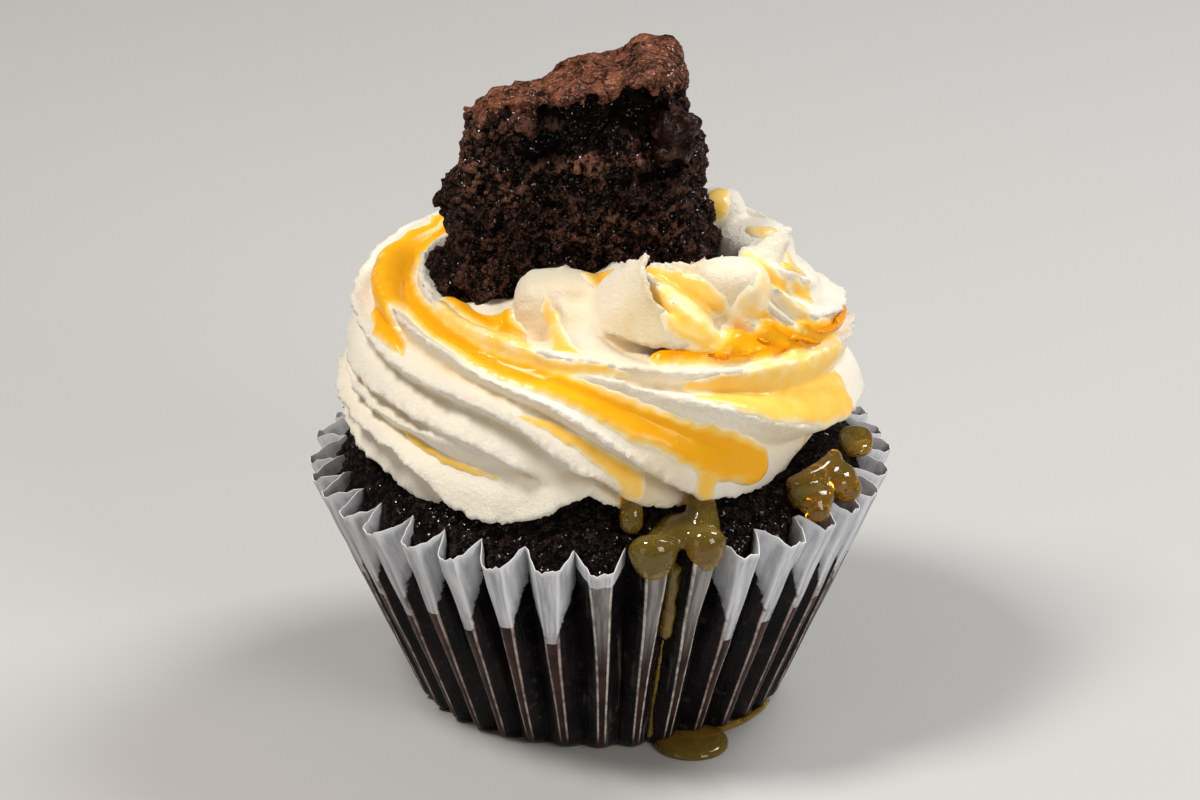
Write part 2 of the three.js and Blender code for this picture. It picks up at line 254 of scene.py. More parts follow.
def layered(tree, colour, *coats):
    """A colour under coats of others, each coat a share of 0 to 1 and its colour."""
    for share, coat in coats:
        made = node(tree, "ShaderNodeMix", data_type="RGBA")
        link(tree, share, made.inputs[0])
        for socket, tone in ((made.inputs[6], colour), (made.inputs[7], coat)):
            link(tree, (*tone, 1.0) if isinstance(tone, tuple) else tone, socket)
        colour = made.outputs[2]
    return colour


def noise(tree, place, size, detail=4.0, roughness=0.55):
    """Noise whose lumps are about this many millimetres across, from 0 to 1."""
    made = node(tree, "ShaderNodeTexNoise")
    made.inputs["Scale"].default_value = 1.0 / (size * MM)
    made.inputs["Detail"].default_value = detail
    made.inputs["Roughness"].default_value = roughness
    link(tree, place, made.inputs["Vector"])
    return made.outputs[0]


def bump(tree, shader, height, distance, strength=1.0):
    """Give a shader a relief of this many millimetres."""
    made = node(tree, "ShaderNodeBump")
    made.inputs["Distance"].default_value = distance * MM
    made.inputs["Strength"].default_value = strength
    link(tree, height, made.inputs["Height"])
    link(tree, made.outputs[0], shader.inputs["Normal"])


def greaseproof():
    material, tree, shader = new_material("greaseproof_paper", 0.4, 0.12)
    place = object_place(tree)
    split = node(tree, "ShaderNodeSeparateXYZ")
    link(tree, node(tree, "ShaderNodeUVMap", uv_map="pleats").outputs[0], split.inputs[0])
    round_case, height = split.outputs[0], split.outputs[1]
    pleat = math_node(tree, "FLOOR", round_case)
    side = math_node(tree, "SUBTRACT", math_node(tree, "SUBTRACT", round_case, pleat), 0.5)
    across = math_node(tree, "MULTIPLY", math_node(tree, "ABSOLUTE", side), 2.0)
    which = node(tree, "ShaderNodeTexWhiteNoise", noise_dimensions="1D")
    link(tree, pleat, which.inputs["W"])
    mottle = noise(tree, place, 1.6, 5.0, 0.65)
    blotch = noise(tree, place, 4.5, 2.0)
    drawn = node(tree, "ShaderNodeCombineXYZ")
    link(tree, math_node(tree, "MULTIPLY", round_case, 0.03), drawn.inputs[0])
    link(tree, math_node(tree, "MULTIPLY", height, 0.012), drawn.inputs[1])
    streak = noise(tree, drawn.outputs[0], 4.0, 4.0, 0.6)

    # White stands where the paper is free of the cake: all of a pleat at the rim, and only the
    # strip below. Where sauce ran, three pleats are soaked clear, the right two up to the rim.
    tip = math_node(tree, "ADD", 0.55, math_node(tree, "MULTIPLY", which.outputs["Value"], 0.12))
    free = math_node(tree, "ADD", ramp_between(tree, height, 0.58, 0.98, 0.22, 1.2),
                     swing(tree, mottle, 0.35))
    reach = math_node(tree, "SUBTRACT", free, across)
    dry_rim = ramp_between(tree, pleat, FRONT_PLEAT + 0.3, FRONT_PLEAT + 0.7, 0.93, 1.5)
    clear = product(tree, math_node(tree, "COMPARE", pleat, FRONT_PLEAT + 1.0, 1.2),
                    math_node(tree, "LESS_THAN", height, dry_rim))
    white = product(tree, ramp_between(tree, reach, -0.03, 0.05),
                    math_node(tree, "GREATER_THAN", height, tip),
                    math_node(tree, "SUBTRACT", 1.0, clear))

    # The two edges of each strip are painted as thin pale lines: a painted highlight.
    strip = math_node(tree, "ADD", STRIP_FOOT, math_node(
        tree, "MULTIPLY", math_node(tree, "POWER", height, 2.0), STRIP_RIM - STRIP_FOOT))
    past_strip = math_node(tree, "SUBTRACT", across, strip)
    edge = math_node(tree, "ABSOLUTE", past_strip)
    edge_highlight = product(tree, ramp_between(tree, edge, 0.02, 0.07, 1.0, 0.0),
                   ramp_between(tree, mottle, 0.35, 0.6, 0.3, 1.0),
                   ramp_between(tree, height, 0.02, 0.12))
    on_strip = ramp_between(tree, past_strip, -0.03, 0.03, 1.0, 0.0)

    # A clear strip is streaked with sauce, and painted silvery towards the rim: a painted reflection.
    painted_reflection = product(tree, clear, on_strip, ramp_between(tree, height, 0.45, 0.8),
                    ramp_between(tree, streak, 0.35, 0.6, 0.35, 1.0))
    # The colour of the painted edge highlight, paler and greyer on a clear strip.
    pale = layered(tree, (0.46, 0.35, 0.32), (clear, (0.62, 0.58, 0.53)))
    soaked = layered(
        tree, (0.0035, 0.0035, 0.005), (on_strip, (0.050, 0.020, 0.017)),
        (ramp_between(tree, blotch, 0.35, 0.7), (0.012, 0.008, 0.008)),
        (ramp_between(tree, mottle, 0.55, 0.7, 0.0, 0.7), (0.045, 0.028, 0.026)),
        (product(tree, clear, ramp_between(tree, streak, 0.55, 0.75)), (0.085, 0.080, 0.075)),
        (painted_reflection, (0.26, 0.25, 0.235)), (edge_highlight, pale))
    # The milky paper is painted lighter near the strip edges and at the top of the rim: painted
    # highlights.
    milk = layered(
        tree, (0.36, 0.37, 0.40), (ramp_between(tree, streak, 0.3, 0.7), (0.70, 0.71, 0.75)),
        (ramp_between(tree, reach, 0.0, 0.35, 0.6, 0.0), (0.15, 0.15, 0.165)),
        (ramp_between(tree, edge, 0.0, 0.1, 0.8, 0.0), (0.80, 0.80, 0.83)),
        (ramp_between(tree, height, 0.97, 1.0), (0.75, 0.75, 0.78)))
    link(tree, layered(tree, soaked, (white, milk)), shader.inputs["Base Color"])
    link(tree, ramp_between(tree, white, 0.0, 1.0, 0.22, 0.5), shader.inputs["Roughness"])
    bump(tree, shader, math_node(tree, "ADD", math_node(tree, "MULTIPLY", mottle, 0.4), streak), 0.3, 0.7)
    return material


paper_case.data.materials.append(greaseproof())
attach(paper_case, "root")
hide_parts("paper_case")


# ------------------------------------------------------------------------------ cake
# A moist, nearly black chocolate sponge, baked in the case. It swelled into the pleats and
# rose over the rim as a low dome, and its torn, sticky crumb glitters.
DOME = [                         # radius and height, from the wall to the middle
    (37.2, 26.0), (36.6, 30.5), (35.2, 33.6), (32.6, 36.6), (29.5, 38.8), (21, 41.0), (10, 41.9),
    (0, 42.1)]
DOME_RADIUS = 35.6               # where the dome meets the wall
DOME_SCALLOP = 0.4               # and how much that edge follows the pleats
CAKE_GAP = 1.0                   # the cake is modelled about this far inside the paper
WALL_TOP = 0.93                  # the level on the paper that the cake's wall rises to
WALL_ROWS = 0.62                 # the share of the cylinder's rows that makes the wall


def dome_height(radius):
    outline = np.array(DOME[::-1], dtype=float)
    return np.interp(radius, outline[:, 0], outline[:, 1], right=-20.0)


def remesh(piece, size):
    """Wrap the piece in one closed skin with faces of this size."""
    apply_modifier(piece, "REMESH", mode="VOXEL", voxel_size=size * MM)


def smooth(piece, times, factor=0.5, group=""):
    apply_modifier(piece, "SMOOTH", factor=factor, iterations=times, vertex_group=group)


def set_random_lumps(piece, size, height, kind="CLOUDS", group="", depth=2, middle=0.5):
    """Push the surface in and out by a random pattern, for crumb and for torn cream."""
    pattern = bpy.data.textures.new(f"{piece.name}_{size}", kind)
    pattern.noise_scale = size * MM
    if kind == "CLOUDS":
        pattern.noise_depth = depth
    apply_modifier(piece, "DISPLACE", texture=pattern, strength=height * MM, mid_level=middle,
                   vertex_group=group)


def select_only(*pieces):
    """Select these pieces and nothing else; the first is the active one."""
    bpy.ops.object.select_all(action="DESELECT")
    for piece in pieces:
        piece.select_set(True)
    bpy.context.view_layer.objects.active = pieces[0]


def smoothed_places(piece, times):
    """Where the vertices would be on a smoothed piece, and which way it faces there."""
    select_only(piece)
    bpy.ops.object.duplicate()
    double = bpy.context.object
    smooth(double, times, factor=0.7)
    places = vertices_of(double)
    normals = np.empty(len(double.data.vertices) * 3)
    double.data.vertices.foreach_get("normal", normals)
    bpy.data.objects.remove(double)
    select_only(piece)
    return places, normals.reshape(-1, 3)


def store(piece, name, values):
    """Keep a number for each vertex on the piece, for its material."""
    kept = piece.data.attributes.new(name, "FLOAT", "POINT")
    kept.data.foreach_set("value", values.astype(np.float32))


def stored(tree, name):
    return node(tree, "ShaderNodeAttribute", attribute_name=name).outputs["Fac"]


def store_relief(piece, times, name="relief"):
    """Keep how far each place stands out of its surroundings, in millimetres."""
    places = vertices_of(piece)
    level, normals = smoothed_places(piece, times)
    relief = np.sum((places - level) * normals, axis=1)
    store(piece, name, relief)
    return relief


cake = add_cylinder("chocolate_cake", PLEATS * 8)
cut_rows(cake, 60)
turn, level, reach = cylinder_places(cake)
wall = pleated(turn, WALL_TOP * np.clip(level / WALL_ROWS, 0.0, 1.0))
wall_radius = np.hypot(wall[:, 0], wall[:, 1]) - 1.1 * CAKE_GAP
across = np.abs(turn * PLEATS - np.floor(turn * PLEATS + 0.5))
dome_part = np.clip((level - WALL_ROWS) / (1 - WALL_ROWS), 0.0, 1.0)
dome_radius = (DOME_RADIUS - DOME_SCALLOP * np.cos(4 * np.pi * across)) * (1 - dome_part)
radius = np.where(dome_part > 0, dome_radius, wall_radius)
height = np.where(dome_part > 0, dome_height(radius), wall[:, 2] + CAKE_GAP)
height = np.where(reach < 0.5, np.where(level > 0.5, DOME[-1][1], CAKE_GAP), height)
move_vertices(cake, on_ring(radius * reach, 2 * np.pi * pleat_spread(turn), height))
remesh(cake, 0.48)
set_random_lumps(cake, 3.0, 1.2)
set_random_lumps(cake, 1.1, -0.9, kind="VORONOI")
set_random_lumps(cake, 0.9, 0.7, depth=3)
# how far the crumb stands out, kept for the painted shade in its pits
store_relief(cake, 12)
bpy.ops.object.shade_smooth()


def moist_crumb(name, dark, warm, sheen):
    """Crumb that is warm on its grains and painted black in its pits, a painted shade, with a wet glint
    here and there.
    """
    material, tree, shader = new_material(name, 0.8, 0.05)
    place = object_place(tree)
    grain = noise(tree, place, 0.36, 3.0, 0.75)
    patch = noise(tree, place, 5.0, 3.0)
    # Painted shade: the crumb is darker where its relief sinks into a pit.
    stand = math_node(tree, "ADD", stored(tree, "relief"), swing(tree, grain, 2.0))
    share = product(tree, ramp_between(tree, stand, -0.1, 0.5),
                    ramp_between(tree, patch, 0.3, 0.7, 0.35, 1.0))
    link(tree, layered(tree, dark, (share, warm)), shader.inputs["Base Color"])
    wet = ramp_between(tree, noise(tree, place, 0.35, 2.0), 0.56, 0.64)
    link(tree, product(tree, wet, sheen), shader.inputs["Coat Weight"])
    shader.inputs["Coat Roughness"].default_value = 0.12
    bump(tree, shader, grain, 0.45)
    return material, tree, shader


material, _, _ = moist_crumb("chocolate_crumb", (0.002, 0.0013, 0.0012), (0.050, 0.030, 0.026), 1.0)
cake.data.materials.append(material)
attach(cake, "root")
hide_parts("cake")


# ------------------------------------------------------------------------------ buttercream
# Buttercream from a large open star nozzle, piped as one rope that winds a little over two
# turns clockwise and ends as a small third turn on top. The nozzle's teeth left twelve ridges
# that twist round the rope as it winds.
AXIS_START = -5.0                # where the piping starts, in degrees round from the front
# Keys of the rope: how far it has wound in degrees, the radius and height of the ring there,
# and half the rope's width and height.
ROPE = [
    (-16, 25.5, 41, 5, 5), (-6, 25.5, 41.3, 8.8, 8), (10, 25.5, 41.5, 10.2, 10.2),
    (25, 25.8, 41.8, 10.5, 10.6), (45, 26, 43.2, 10.2, 9.6), (90, 26.4, 44.4, 10, 8.6),
    (180, 26.2, 45.5, 9.6, 8.2), (255, 26.8, 47, 9.9, 9), (285, 26.5, 47.2, 10, 9.6),
    (310, 26, 46.9, 10.6, 11.4), (335, 25.4, 47.4, 11.2, 12.4), (360, 25, 48.9, 11.4, 12.2),
    (400, 24.8, 51.2, 11.1, 10.4), (450, 24.6, 52.6, 11, 10.4), (540, 23.4, 53.5, 10.2, 10),
    (590, 22, 54.2, 10.2, 9.6), (615, 23, 54.6, 11, 9.8), (640, 22.2, 56.4, 10.6, 10),
    (670, 17.6, 57.8, 10, 9.6), (700, 13.4, 58, 9.8, 9), (730, 11.4, 58, 9.6, 8.2),
    (750, 10.6, 57.6, 9.2, 7.8), (762, 10.2, 57.2, 8, 7), (770, 10, 57, 4, 4),
]
# Keys of a ridge: how far it has wound, its angle round the rope (0 faces out, 90 up) and its
# height. First comes where the groove above it lies, as a share of the way to the next ridge.
RIDGES = [
    (0.68, [
        (-16, -62, 2.2), (20, -62, 2.4), (35, -56, 2.4), (70, -28, 2.2), (180, -5, 2.2), (240, 20, 2.2),
        (285, 46, 2.2), (375, 69, 2.2), (540, 130, 2), (640, 195, 1), (660, 222, 0), (770, 330, 0)]),
    (0.68, [
        (-16, -24, 2.2), (30, -27, 2.2), (38, -12, 2.2), (47, 1, 2.2), (90, 4, 2.2), (180, 28, 2.2),
        (270, 66, 2), (330, 92, 1), (640, 246, 0), (680, 280, 0), (715, 310, 1.5), (736, 337, 2.2),
        (745, 358, 2.2), (752.5, 400, 2.2), (757, 445, 2.2), (762, 480, 2.2)]),
    (0.62, [
        (-16, 32, 2), (12, 37, 2), (55, 23, 2), (180, 58, 2.2), (270, 98, 2), (330, 122, 0),
        (640, 282, 1), (680, 310, 2), (705, 339, 2.2), (725.5, 376, 2.2), (734, 406, 2.2),
        (738, 433, 2.2), (750, 490, 2), (770, 510, 2)]),
    (0.68, [
        (-16, 66, 1), (90, 62, 1), (180, 90, 1), (330, 150, 0), (640, 312, 2), (665, 342, 3),
        (683, 375, 3.2), (690.5, 397, 3.4), (693, 421, 2.6), (695, 440, 2.4), (696.5, 462, 2.2),
        (705, 490, 2), (770, 530, 0)]),
    (0.68, [
        (-16, 96, 0), (180, 120, 0), (330, 178, 0), (600, 296, 1.5), (645, 330, 2), (655, 345, 2.1),
        (669, 380, 2.1), (673, 398, 2.1), (681, 453, 2.1), (690, 495, 1), (770, 550, 0)]),
    (0.68, [
        (-16, 126, 0), (180, 150, 0), (330, 205, 0), (540, 290, 1.5), (600, 322, 2), (640, 340, 2.1),
        (656, 373, 2.1), (662, 398, 2.1), (669, 440, 2.1), (676, 470, 2), (690, 500, 0), (770, 570, 0)]),
    (0.68, [
        (-16, 156, 0), (180, 182, 0), (330, 232, 0), (500, 288, 1.5), (540, 322, 2.2), (600, 358, 2.2),
        (640, 365, 2.2), (650, 374, 2.2), (653.5, 394, 2.2), (657, 435, 2.2), (664, 470, 2),
        (680, 497, 0), (770, 590, 0)]),
    (0.68, [
        (-16, 186, 0), (330, 256, 0), (430, 298, 2), (500, 330, 2.2), (540, 358, 2.2), (580, 380, 1.5),
        (605, 388, 0.4), (632, 394, 0.4), (641, 402, 1.6), (648, 420, 2.2), (656, 460, 2),
        (664, 488, 1), (680, 514, 0), (770, 605, 0)]),
    (0.68, [
        (-16, 214, 0), (330, 274, 0), (360, 300, 1.5), (375, 338, 2), (405, 348, 2), (445, 342, 2),
        (500, 370, 2.2), (600, 422, 2.4), (632, 444, 1.6), (642, 456, 1), (660, 500, 0), (770, 620, 0)]),
    (0.68, [
        (-16, 240, 0), (300, 276, 0), (325, 288, 1.5), (355, 334, 2.2), (375, 373, 2.2),
        (405, 382, 2.2), (540, 422, 2.2), (600, 452, 2), (640, 484, 1), (660, 522, 0), (770, 635, 0)]),
    (0.68, [
        (-16, 262, 0), (180, 293, 1), (270, 290, 1), (300, 294, 1.5), (330, 322, 2.2), (342, 346, 2.3),
        (364, 385, 2.3), (385, 400, 2.3), (398, 410, 2.3), (450, 422, 2.3), (540, 455, 2.2),
        (640, 510, 0), (660, 542, 0), (770, 650, 0)]),
    (0.68, [
        (-16, 280, 0), (60, 290, 2), (90, 305, 2), (180, 328, 2.2), (240, 330, 2.2), (265, 335, 2.4),
        (283, 346, 2.5), (301, 356, 2.5), (330, 393, 2.4), (355, 414, 2), (362, 418, 1), (375, 414, 0),
        (640, 530, 0), (660, 558, 0), (770, 665, 0)]),
]
GROOVE = 3.3                     # depth of a groove's floor below the rope's plain size
RELIEF = 1.45                    # the ridges stand this much taller than their keys
CAKE_SEAT = 0.8                  # the cream sinks this far into the dome
RIM_SEAT = 35.9                  # and lies no lower than this, out over the rim
NOTCH_HEIGHT = 3.8               # the first turn's lower edge lifts this far off the cake in front
NOTCH_ACROSS = (-12.6, -1.2, 3.2)                         # where the notch starts, peaks and ends
FLECK = 50                       # a loose body with fewer corners than this is wiped off
CARAMEL_TINT_AND_SHADE = [                       # where the cream is painted darker and yellower, partly a smear of caramel, partly painted shade: middle and size
    (6, -23, 62, 8), (-5, -17, 60, 7), (16, -17, 62, 8), (25, -21, 51, 7), (-15, -19, 59, 6),
    (6, -33, 44, 5)]


def through(keys, at):
    """Smooth curves through keys of (position, value, ...), one column for each value."""
    keys = np.array(keys, dtype=float)
    where, values = keys[:, 0], keys[:, 1:]
    before = np.maximum(np.arange(len(where)) - 1, 0)
    after = np.minimum(np.arange(len(where)) + 1, len(where) - 1)
    slope = (values[after] - values[before]) / (where[after] - where[before])[:, None]
    at = np.clip(at, where[0], where[-1])
    i = np.clip(np.searchsorted(where, at, side="right") - 1, 0, len(where) - 2)
    step = (where[i + 1] - where[i])[..., None]
    t = (at - where[i])[..., None] / step
    return ((2 * t ** 3 - 3 * t ** 2 + 1) * values[i] + (t ** 3 - 2 * t ** 2 + t) * step * slope[i]
            + (3 * t ** 2 - 2 * t ** 3) * values[i + 1] + (t ** 3 - t ** 2) * step * slope[i + 1])


def star_rise(wound, angle):
    """How far the star section stands above the rope's plain size there."""
    ridges = [through(keys, wound) for _, keys in RIDGES]
    rise = np.zeros_like(wound)
    for k, (floor, _) in enumerate(RIDGES):
        low, high = ridges[k], ridges[(k + 1) % len(RIDGES)]
        gap = high[:, 0] - low[:, 0] + (360 if k == len(RIDGES) - 1 else 0)
        share = ((angle - low[:, 0]) % 360) / np.maximum(gap, 1e-3)
        leaving = np.maximum(low[:, 1], 0) * np.clip(1 - share / floor, 0, 1) ** 1.15
        nearing = np.maximum(high[:, 1], 0) * np.clip(1 - (1 - share) / (1 - floor), 0, 1) ** 1.15
        rise = np.where(share <= 1, np.where(share < floor, leaving, nearing), rise)
    return RELIEF * rise - GROOVE


def rope_place(wound, angle, reach):
    """A place on the rope: how far it has wound, the angle round its section, 0 or 1 out."""
    ring, middle, half_width, half_height = through(ROPE, wound).T
    rise = star_rise(wound, angle)
    out = np.cos(np.radians(angle))
    sideways = half_width + rise
    sideways = np.where(out > 0, sideways, np.minimum(sideways, 0.92 * ring))
    radius = ring + reach * out * sideways
    height = middle + reach * np.sin(np.radians(angle)) * (half_height + rise)
    azimuth = np.radians(AXIS_START - wound)
    rest = np.where(radius < DOME_RADIUS - 1.2, dome_height(radius) - CAKE_SEAT, RIM_SEAT)
    return on_ring(radius, azimuth, np.maximum(height, rest))


cream = add_cylinder("piped_buttercream", 240)
cut_rows(cream, 24)               # 650 rows, in two goes
cut_rows(cream, 25)
turn, level, reach = cylinder_places(cream)
wound = ROPE[0][0] + (ROPE[-1][0] - ROPE[0][0]) * level
move_vertices(cream, rope_place(wound, 360 * turn - 90, reach))

# A cone of cream fills the middle of the turns.
bpy.ops.mesh.primitive_cone_add(
    vertices=96, radius1=27 * MM, radius2=14 * MM, depth=17 * MM, location=(0, 0, 46.5 * MM))
core = bpy.context.object


def weights(piece, name, values):
    """Give a piece a vertex group, which says where a modifier acts and how much."""
    group = piece.vertex_groups.new(name=name)
    for index in np.nonzero(values > 0.01)[0]:
        group.add([int(index)], float(values[index]), "REPLACE")


def fold_of_cream(edge, foot, bulge, thick):
    """A curled fold: a sheet from its thin free edge to its thick foot, pushed out between."""
    steps = 40
    edge, foot = (through([(k, *point) for k, point in enumerate(side)],
                          np.linspace(0, len(side) - 1, steps + 1)) for side in (edge, foot))
    bpy.ops.mesh.primitive_grid_add(x_subdivisions=steps, y_subdivisions=20, size=2)
    fold = bpy.context.object
    flat = vertices_of(fold) * MM
    along = np.round((flat[:, 0] + 1) / 2 * steps).astype(int)
    down = (flat[:, 1] + 1) / 2
    out = bulge * np.sin(np.pi * down) * np.sin(np.pi * along / steps) ** 0.5
    down = down[:, None]
    move_vertices(fold, edge[along] * (1 - down) + foot[along] * down
                  + out[:, None] * np.array([-0.2, -0.95, 0.2]))
    weights(fold, "foot", down[:, 0])
    apply_modifier(fold, "SOLIDIFY", thickness=thick * MM, offset=1.0, vertex_group="foot",
                   thickness_vertex_group=0.25)
    return fold


def dab(middle, half, square=0.0, sides=48):
    """A dab with its middle and half its sizes: a ball, or a soft block as square nears 1."""
    bpy.ops.mesh.primitive_uv_sphere_add(segments=sides, ring_count=32, radius=MM)
    ball = vertices_of(bpy.context.object)
    block = ball / np.sum(ball ** 4, axis=1, keepdims=True) ** 0.25
    ball += square * (block - ball)
    move_vertices(bpy.context.object, np.array(middle) + ball * np.array(half))
    return bpy.context.object


def smear(points):
    """A round trail through points of (x, y, z, radius)."""
    trail = add_cylinder("smear", 24)
    cut_rows(trail, 40)
    flat = vertices_of(trail)
    route, ahead, behind = (
        through([(k, *point) for k, point in enumerate(points)],
                np.clip((flat[:, 2] + 0.5 + shift) * (len(points) - 1), 0, len(points) - 1))
        for shift in (0, 0.02, -0.02))
    way = ahead[:, :3] - behind[:, :3]
    way /= np.linalg.norm(way, axis=1)[:, None]
    side = np.cross(way, (0.31, 0.17, 0.94))
    side /= np.linalg.norm(side, axis=1)[:, None]
    up = np.cross(side, way)
    move_vertices(trail, route[:, :3] + route[:, 3:] * (flat[:, :1] * side + flat[:, 1:2] * up))
    return trail


def join_into(piece, others):
    select_only(piece, *others)
    bpy.ops.object.join()


def flecks(mesh):
    """The corners of each loose body that is no more than a fleck."""
    found, seen = [], set()
    for start in mesh.verts:
        if start in seen:
            continue
        body, ahead = {start}, [start]
        while ahead:
            corner = ahead.pop()
            beside = {edge.other_vert(corner) for edge in corner.link_edges} - body
            body |= beside
            ahead += beside
        seen |= body
        if len(body) < FLECK:
            found += body
    return found


join_into(cream, [
    core,
    # the fold that curls over the front of the last turn, and the peak at its right
    fold_of_cream([(5.9, -17.5, 70.3), (6.1, -20.5, 67.8), (7.5, -22.5, 65), (10.9, -23, 62),
                   (14.3, -22.5, 60), (17.5, -21.5, 57.5)],
                  [(2.5, -14.5, 67), (-0.5, -15.5, 64.5), (-1.5, -19, 61), (2.5, -23, 60),
                   (9, -24.2, 58.8), (17, -21.5, 57.2)], 0.7, 4.0),
    fold_of_cream([(19, -6, 66.5), (22, -6.5, 67.6), (25.8, -5.5, 69.2), (25.6, -7, 66),
                   (24, -8.5, 62.5)],
                  [(17.5, -9, 64), (19, -10, 63.5), (20.5, -10.5, 62.8), (21.5, -11, 61.5),
                   (22.5, -11.5, 60)], 0.5, 3.0),
    # the left lobe and the smear that runs on from it
    dab((-5.7, -12.8, 58.2), (6.1, 4.8, 7.1), 0.8),
    smear([(-5, -15, 59, 3), (-2.5, -21, 57.5, 3), (3, -25, 55.6, 2.6), (11, -25, 54.8, 1.6)]),
    # the knob, the bed of the brownie, and the two lobes behind it
    dab((17.5, -14.0, 63.6), (5.4, 4.4, 4.2), 0.3),
    dab((-14.5, -7.5, 55.6), (8.0, 8.0, 4.8), 0.3),
    dab((16.5, 12.0, 60.8), (3.7, 4.2, 6.4), 0.7),
    dab((20.5, 7.0, 60.5), (5.0, 5.5, 4.0), 0.5)])
# The notch fades out up the cream and towards its middle.
places = vertices_of(cream)
lift = np.interp(places[:, 0], NOTCH_ACROSS, (0.0, NOTCH_HEIGHT, 0.0))
lift *= np.clip((-places[:, 1] - 24) / 6, 0, 1) * np.clip((46 - places[:, 2]) / 8, 0, 1)
move_vertices(cream, places + lift[:, None] * (0, 0, 1))
remesh(cream, 0.47)
delete_parts(cream, "VERT", flecks)
smooth(cream, 2)

# The crests tore into small peaks as the cream left the nozzle, but hardly behind the brownie. How far
# each place stands out also sets the painted shade in the grooves.
crest = store_relief(cream, 40, "crest")
places = vertices_of(cream)
smooth_back = blend_step(places[:, 1], 0, 6) * blend_step(places[:, 2], 57, 60)
weights(cream, "crests", blend_step(crest, 0.05, 0.5) * (1 - 0.85 * smooth_back))
set_random_lumps(cream, 6.0, 0.5)
set_random_lumps(cream, 3.0, 0.9, group="crests", depth=1)
set_random_lumps(cream, 1.1, 0.9, group="crests", depth=2)
# Patches of caramel tint and painted shade on the cream, kept for its material.
places = vertices_of(cream)
caramel_tint_and_shade = np.zeros(len(places))
for x, y, z, size in CARAMEL_TINT_AND_SHADE:
    away = np.linalg.norm(places - (x, y, z), axis=1) / size
    caramel_tint_and_shade = np.maximum(caramel_tint_and_shade, np.exp(-away ** 2))
store(cream, "caramel_tint_and_shade", caramel_tint_and_shade)
bpy.ops.object.shade_smooth()


def soft_inside(shader, share, radius, scale):
    """Let light soak in and out again, over this many millimetres."""
    shader.inputs["Subsurface Weight"].default_value = share
    shader.inputs["Subsurface Radius"].default_value = radius
    shader.inputs["Subsurface Scale"].default_value = scale * MM


def buttercream():
    material, tree, shader = new_material("buttercream", 0.55, 0.35)
    place = object_place(tree)
    crest = stored(tree, "crest")
    grain = noise(tree, place, 0.7, 6.0, 0.7)
    patch = noise(tree, place, 6.0, 3.0)
    # the patches of caramel tint and painted shade, broken up at random
    caramel_tint_and_shade = product(tree, stored(tree, "caramel_tint_and_shade"), ramp_between(tree, patch, 0.3, 0.65, 0.5, 1.0))
    # Painted shade: darker and yellower in the grooves, lighter on the crests; the deepest grooves also
    # hold traces of caramel.
    colour = layered(
        tree, (0.80, 0.69, 0.50), (ramp_between(tree, crest, -1.2, 0.35), (0.89, 0.82, 0.70)),
        (ramp_between(tree, crest, -0.55, -0.15, 1.0, 0.0), (0.80, 0.62, 0.36)),
        (ramp_between(tree, patch, 0.35, 0.65, 0.0, 0.3), (0.91, 0.86, 0.76)),
        (caramel_tint_and_shade, (0.76, 0.60, 0.34)))
    link(tree, colour, shader.inputs["Base Color"])
    soft_inside(shader, 0.12, (1.0, 0.7, 0.4), 1.2)
    torn = math_node(tree, "ADD", grain, product(tree, noise(tree, place, 1.7, 4.0, 0.6), 0.7))
    bump(tree, shader, product(tree, torn, ramp_between(tree, crest, -0.3, 0.9, 0.25, 1.0)), 0.6)
    return material


cream.data.materials.append(buttercream())
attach(cream, "root")
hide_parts("frosting")


# ------------------------------------------------------------------------------ brownie
# A chunk torn from a tray of brownie and set on the cream. Its front, back and sides are open
# crumb, hollowed and clumped; its top is the thin, cracked, reddish crust of the bake.
LEFT_EDGE = [                    # height, and how far across the side is there
    (57.5, -20.5), (60.8, -23.4), (62.7, -22.4), (65, -20.4), (67.2, -20), (70.2, -20.6), (72.4, -21.3),
    (74.6, -21.8), (76.4, -19.8), (78.3, -18.8), (82.8, -18.4), (85.8, -17.6), (90, -15)]
RIGHT_EDGE = [
    (57.5, 15), (64.2, 15.4), (67.6, 14.6), (70.2, 14.7), (72.1, 13.3), (74.6, 13), (76.9, 14),
    (79.8, 12.6), (83.1, 11.6), (85.3, 10.7), (87.3, 11.7), (91, 10)]
# along the top, from left to right: how high the front edge is, and how steeply it falls back
TOP_EDGE = [
    (-19, 87, 0.3), (-13.7, 89, 0.3), (-8, 89.4, 0.24), (-2.7, 90.2, 0.16), (2.7, 90.6, 0.12),
    (4.4, 91.2, 0.1), (6.3, 91.8, 0.09), (9.3, 91.3, 0.09), (11, 89.8, 0.1), (12.5, 88, 0.1),
    (14, 86.5, 0.1)]
BROWNIE_LOW, BROWNIE_HIGH = 59.6, 88.6
BROWNIE_FRONT, BROWNIE_BACK = -8.6, 11.4
BROWNIE_TURN = 0.14              # the front runs back this much towards the right
BROWNIE_MIDDLE = -4.0            # how far across its middle is
CRUST = 2.2                      # thickness of the crust
# hollows in the torn front, and below zero lumps on it, which also set its painted shade and light:
# across, up, half width, half height, depth
FRONT_RELIEF = [
    (10.2, 82.4, 3, 3.2, 2.2), (-9.6, 87.2, 4, 0.8, 1.8), (-2, 86.6, 4, 1.6, 2),
    (4.1, 86.2, 3.2, 2.6, 3), (-7.9, 82.5, 3, 2, 2.2), (-1.4, 83.5, 2.5, 1.5, 1.2),
    (6.8, 77, 2.5, 0.9, 1.5), (12.3, 80, 1.6, 1.2, 2.4), (9.2, 90, 1.3, 1.2, 1.8),
    (-8.2, 74, 1.8, 0.9, 1), (-5.5, 66.6, 3, 1, 1), (-10.9, 85, 3, 1.5, -1.6), (0, 79.6, 6, 1.3, -1.6),
    (-13.7, 76.3, 4, 3, -1), (-3, 70, 7, 3, -0.8), (8, 70, 5, 4, -0.8), (-14, 64, 4, 3, -0.8)]

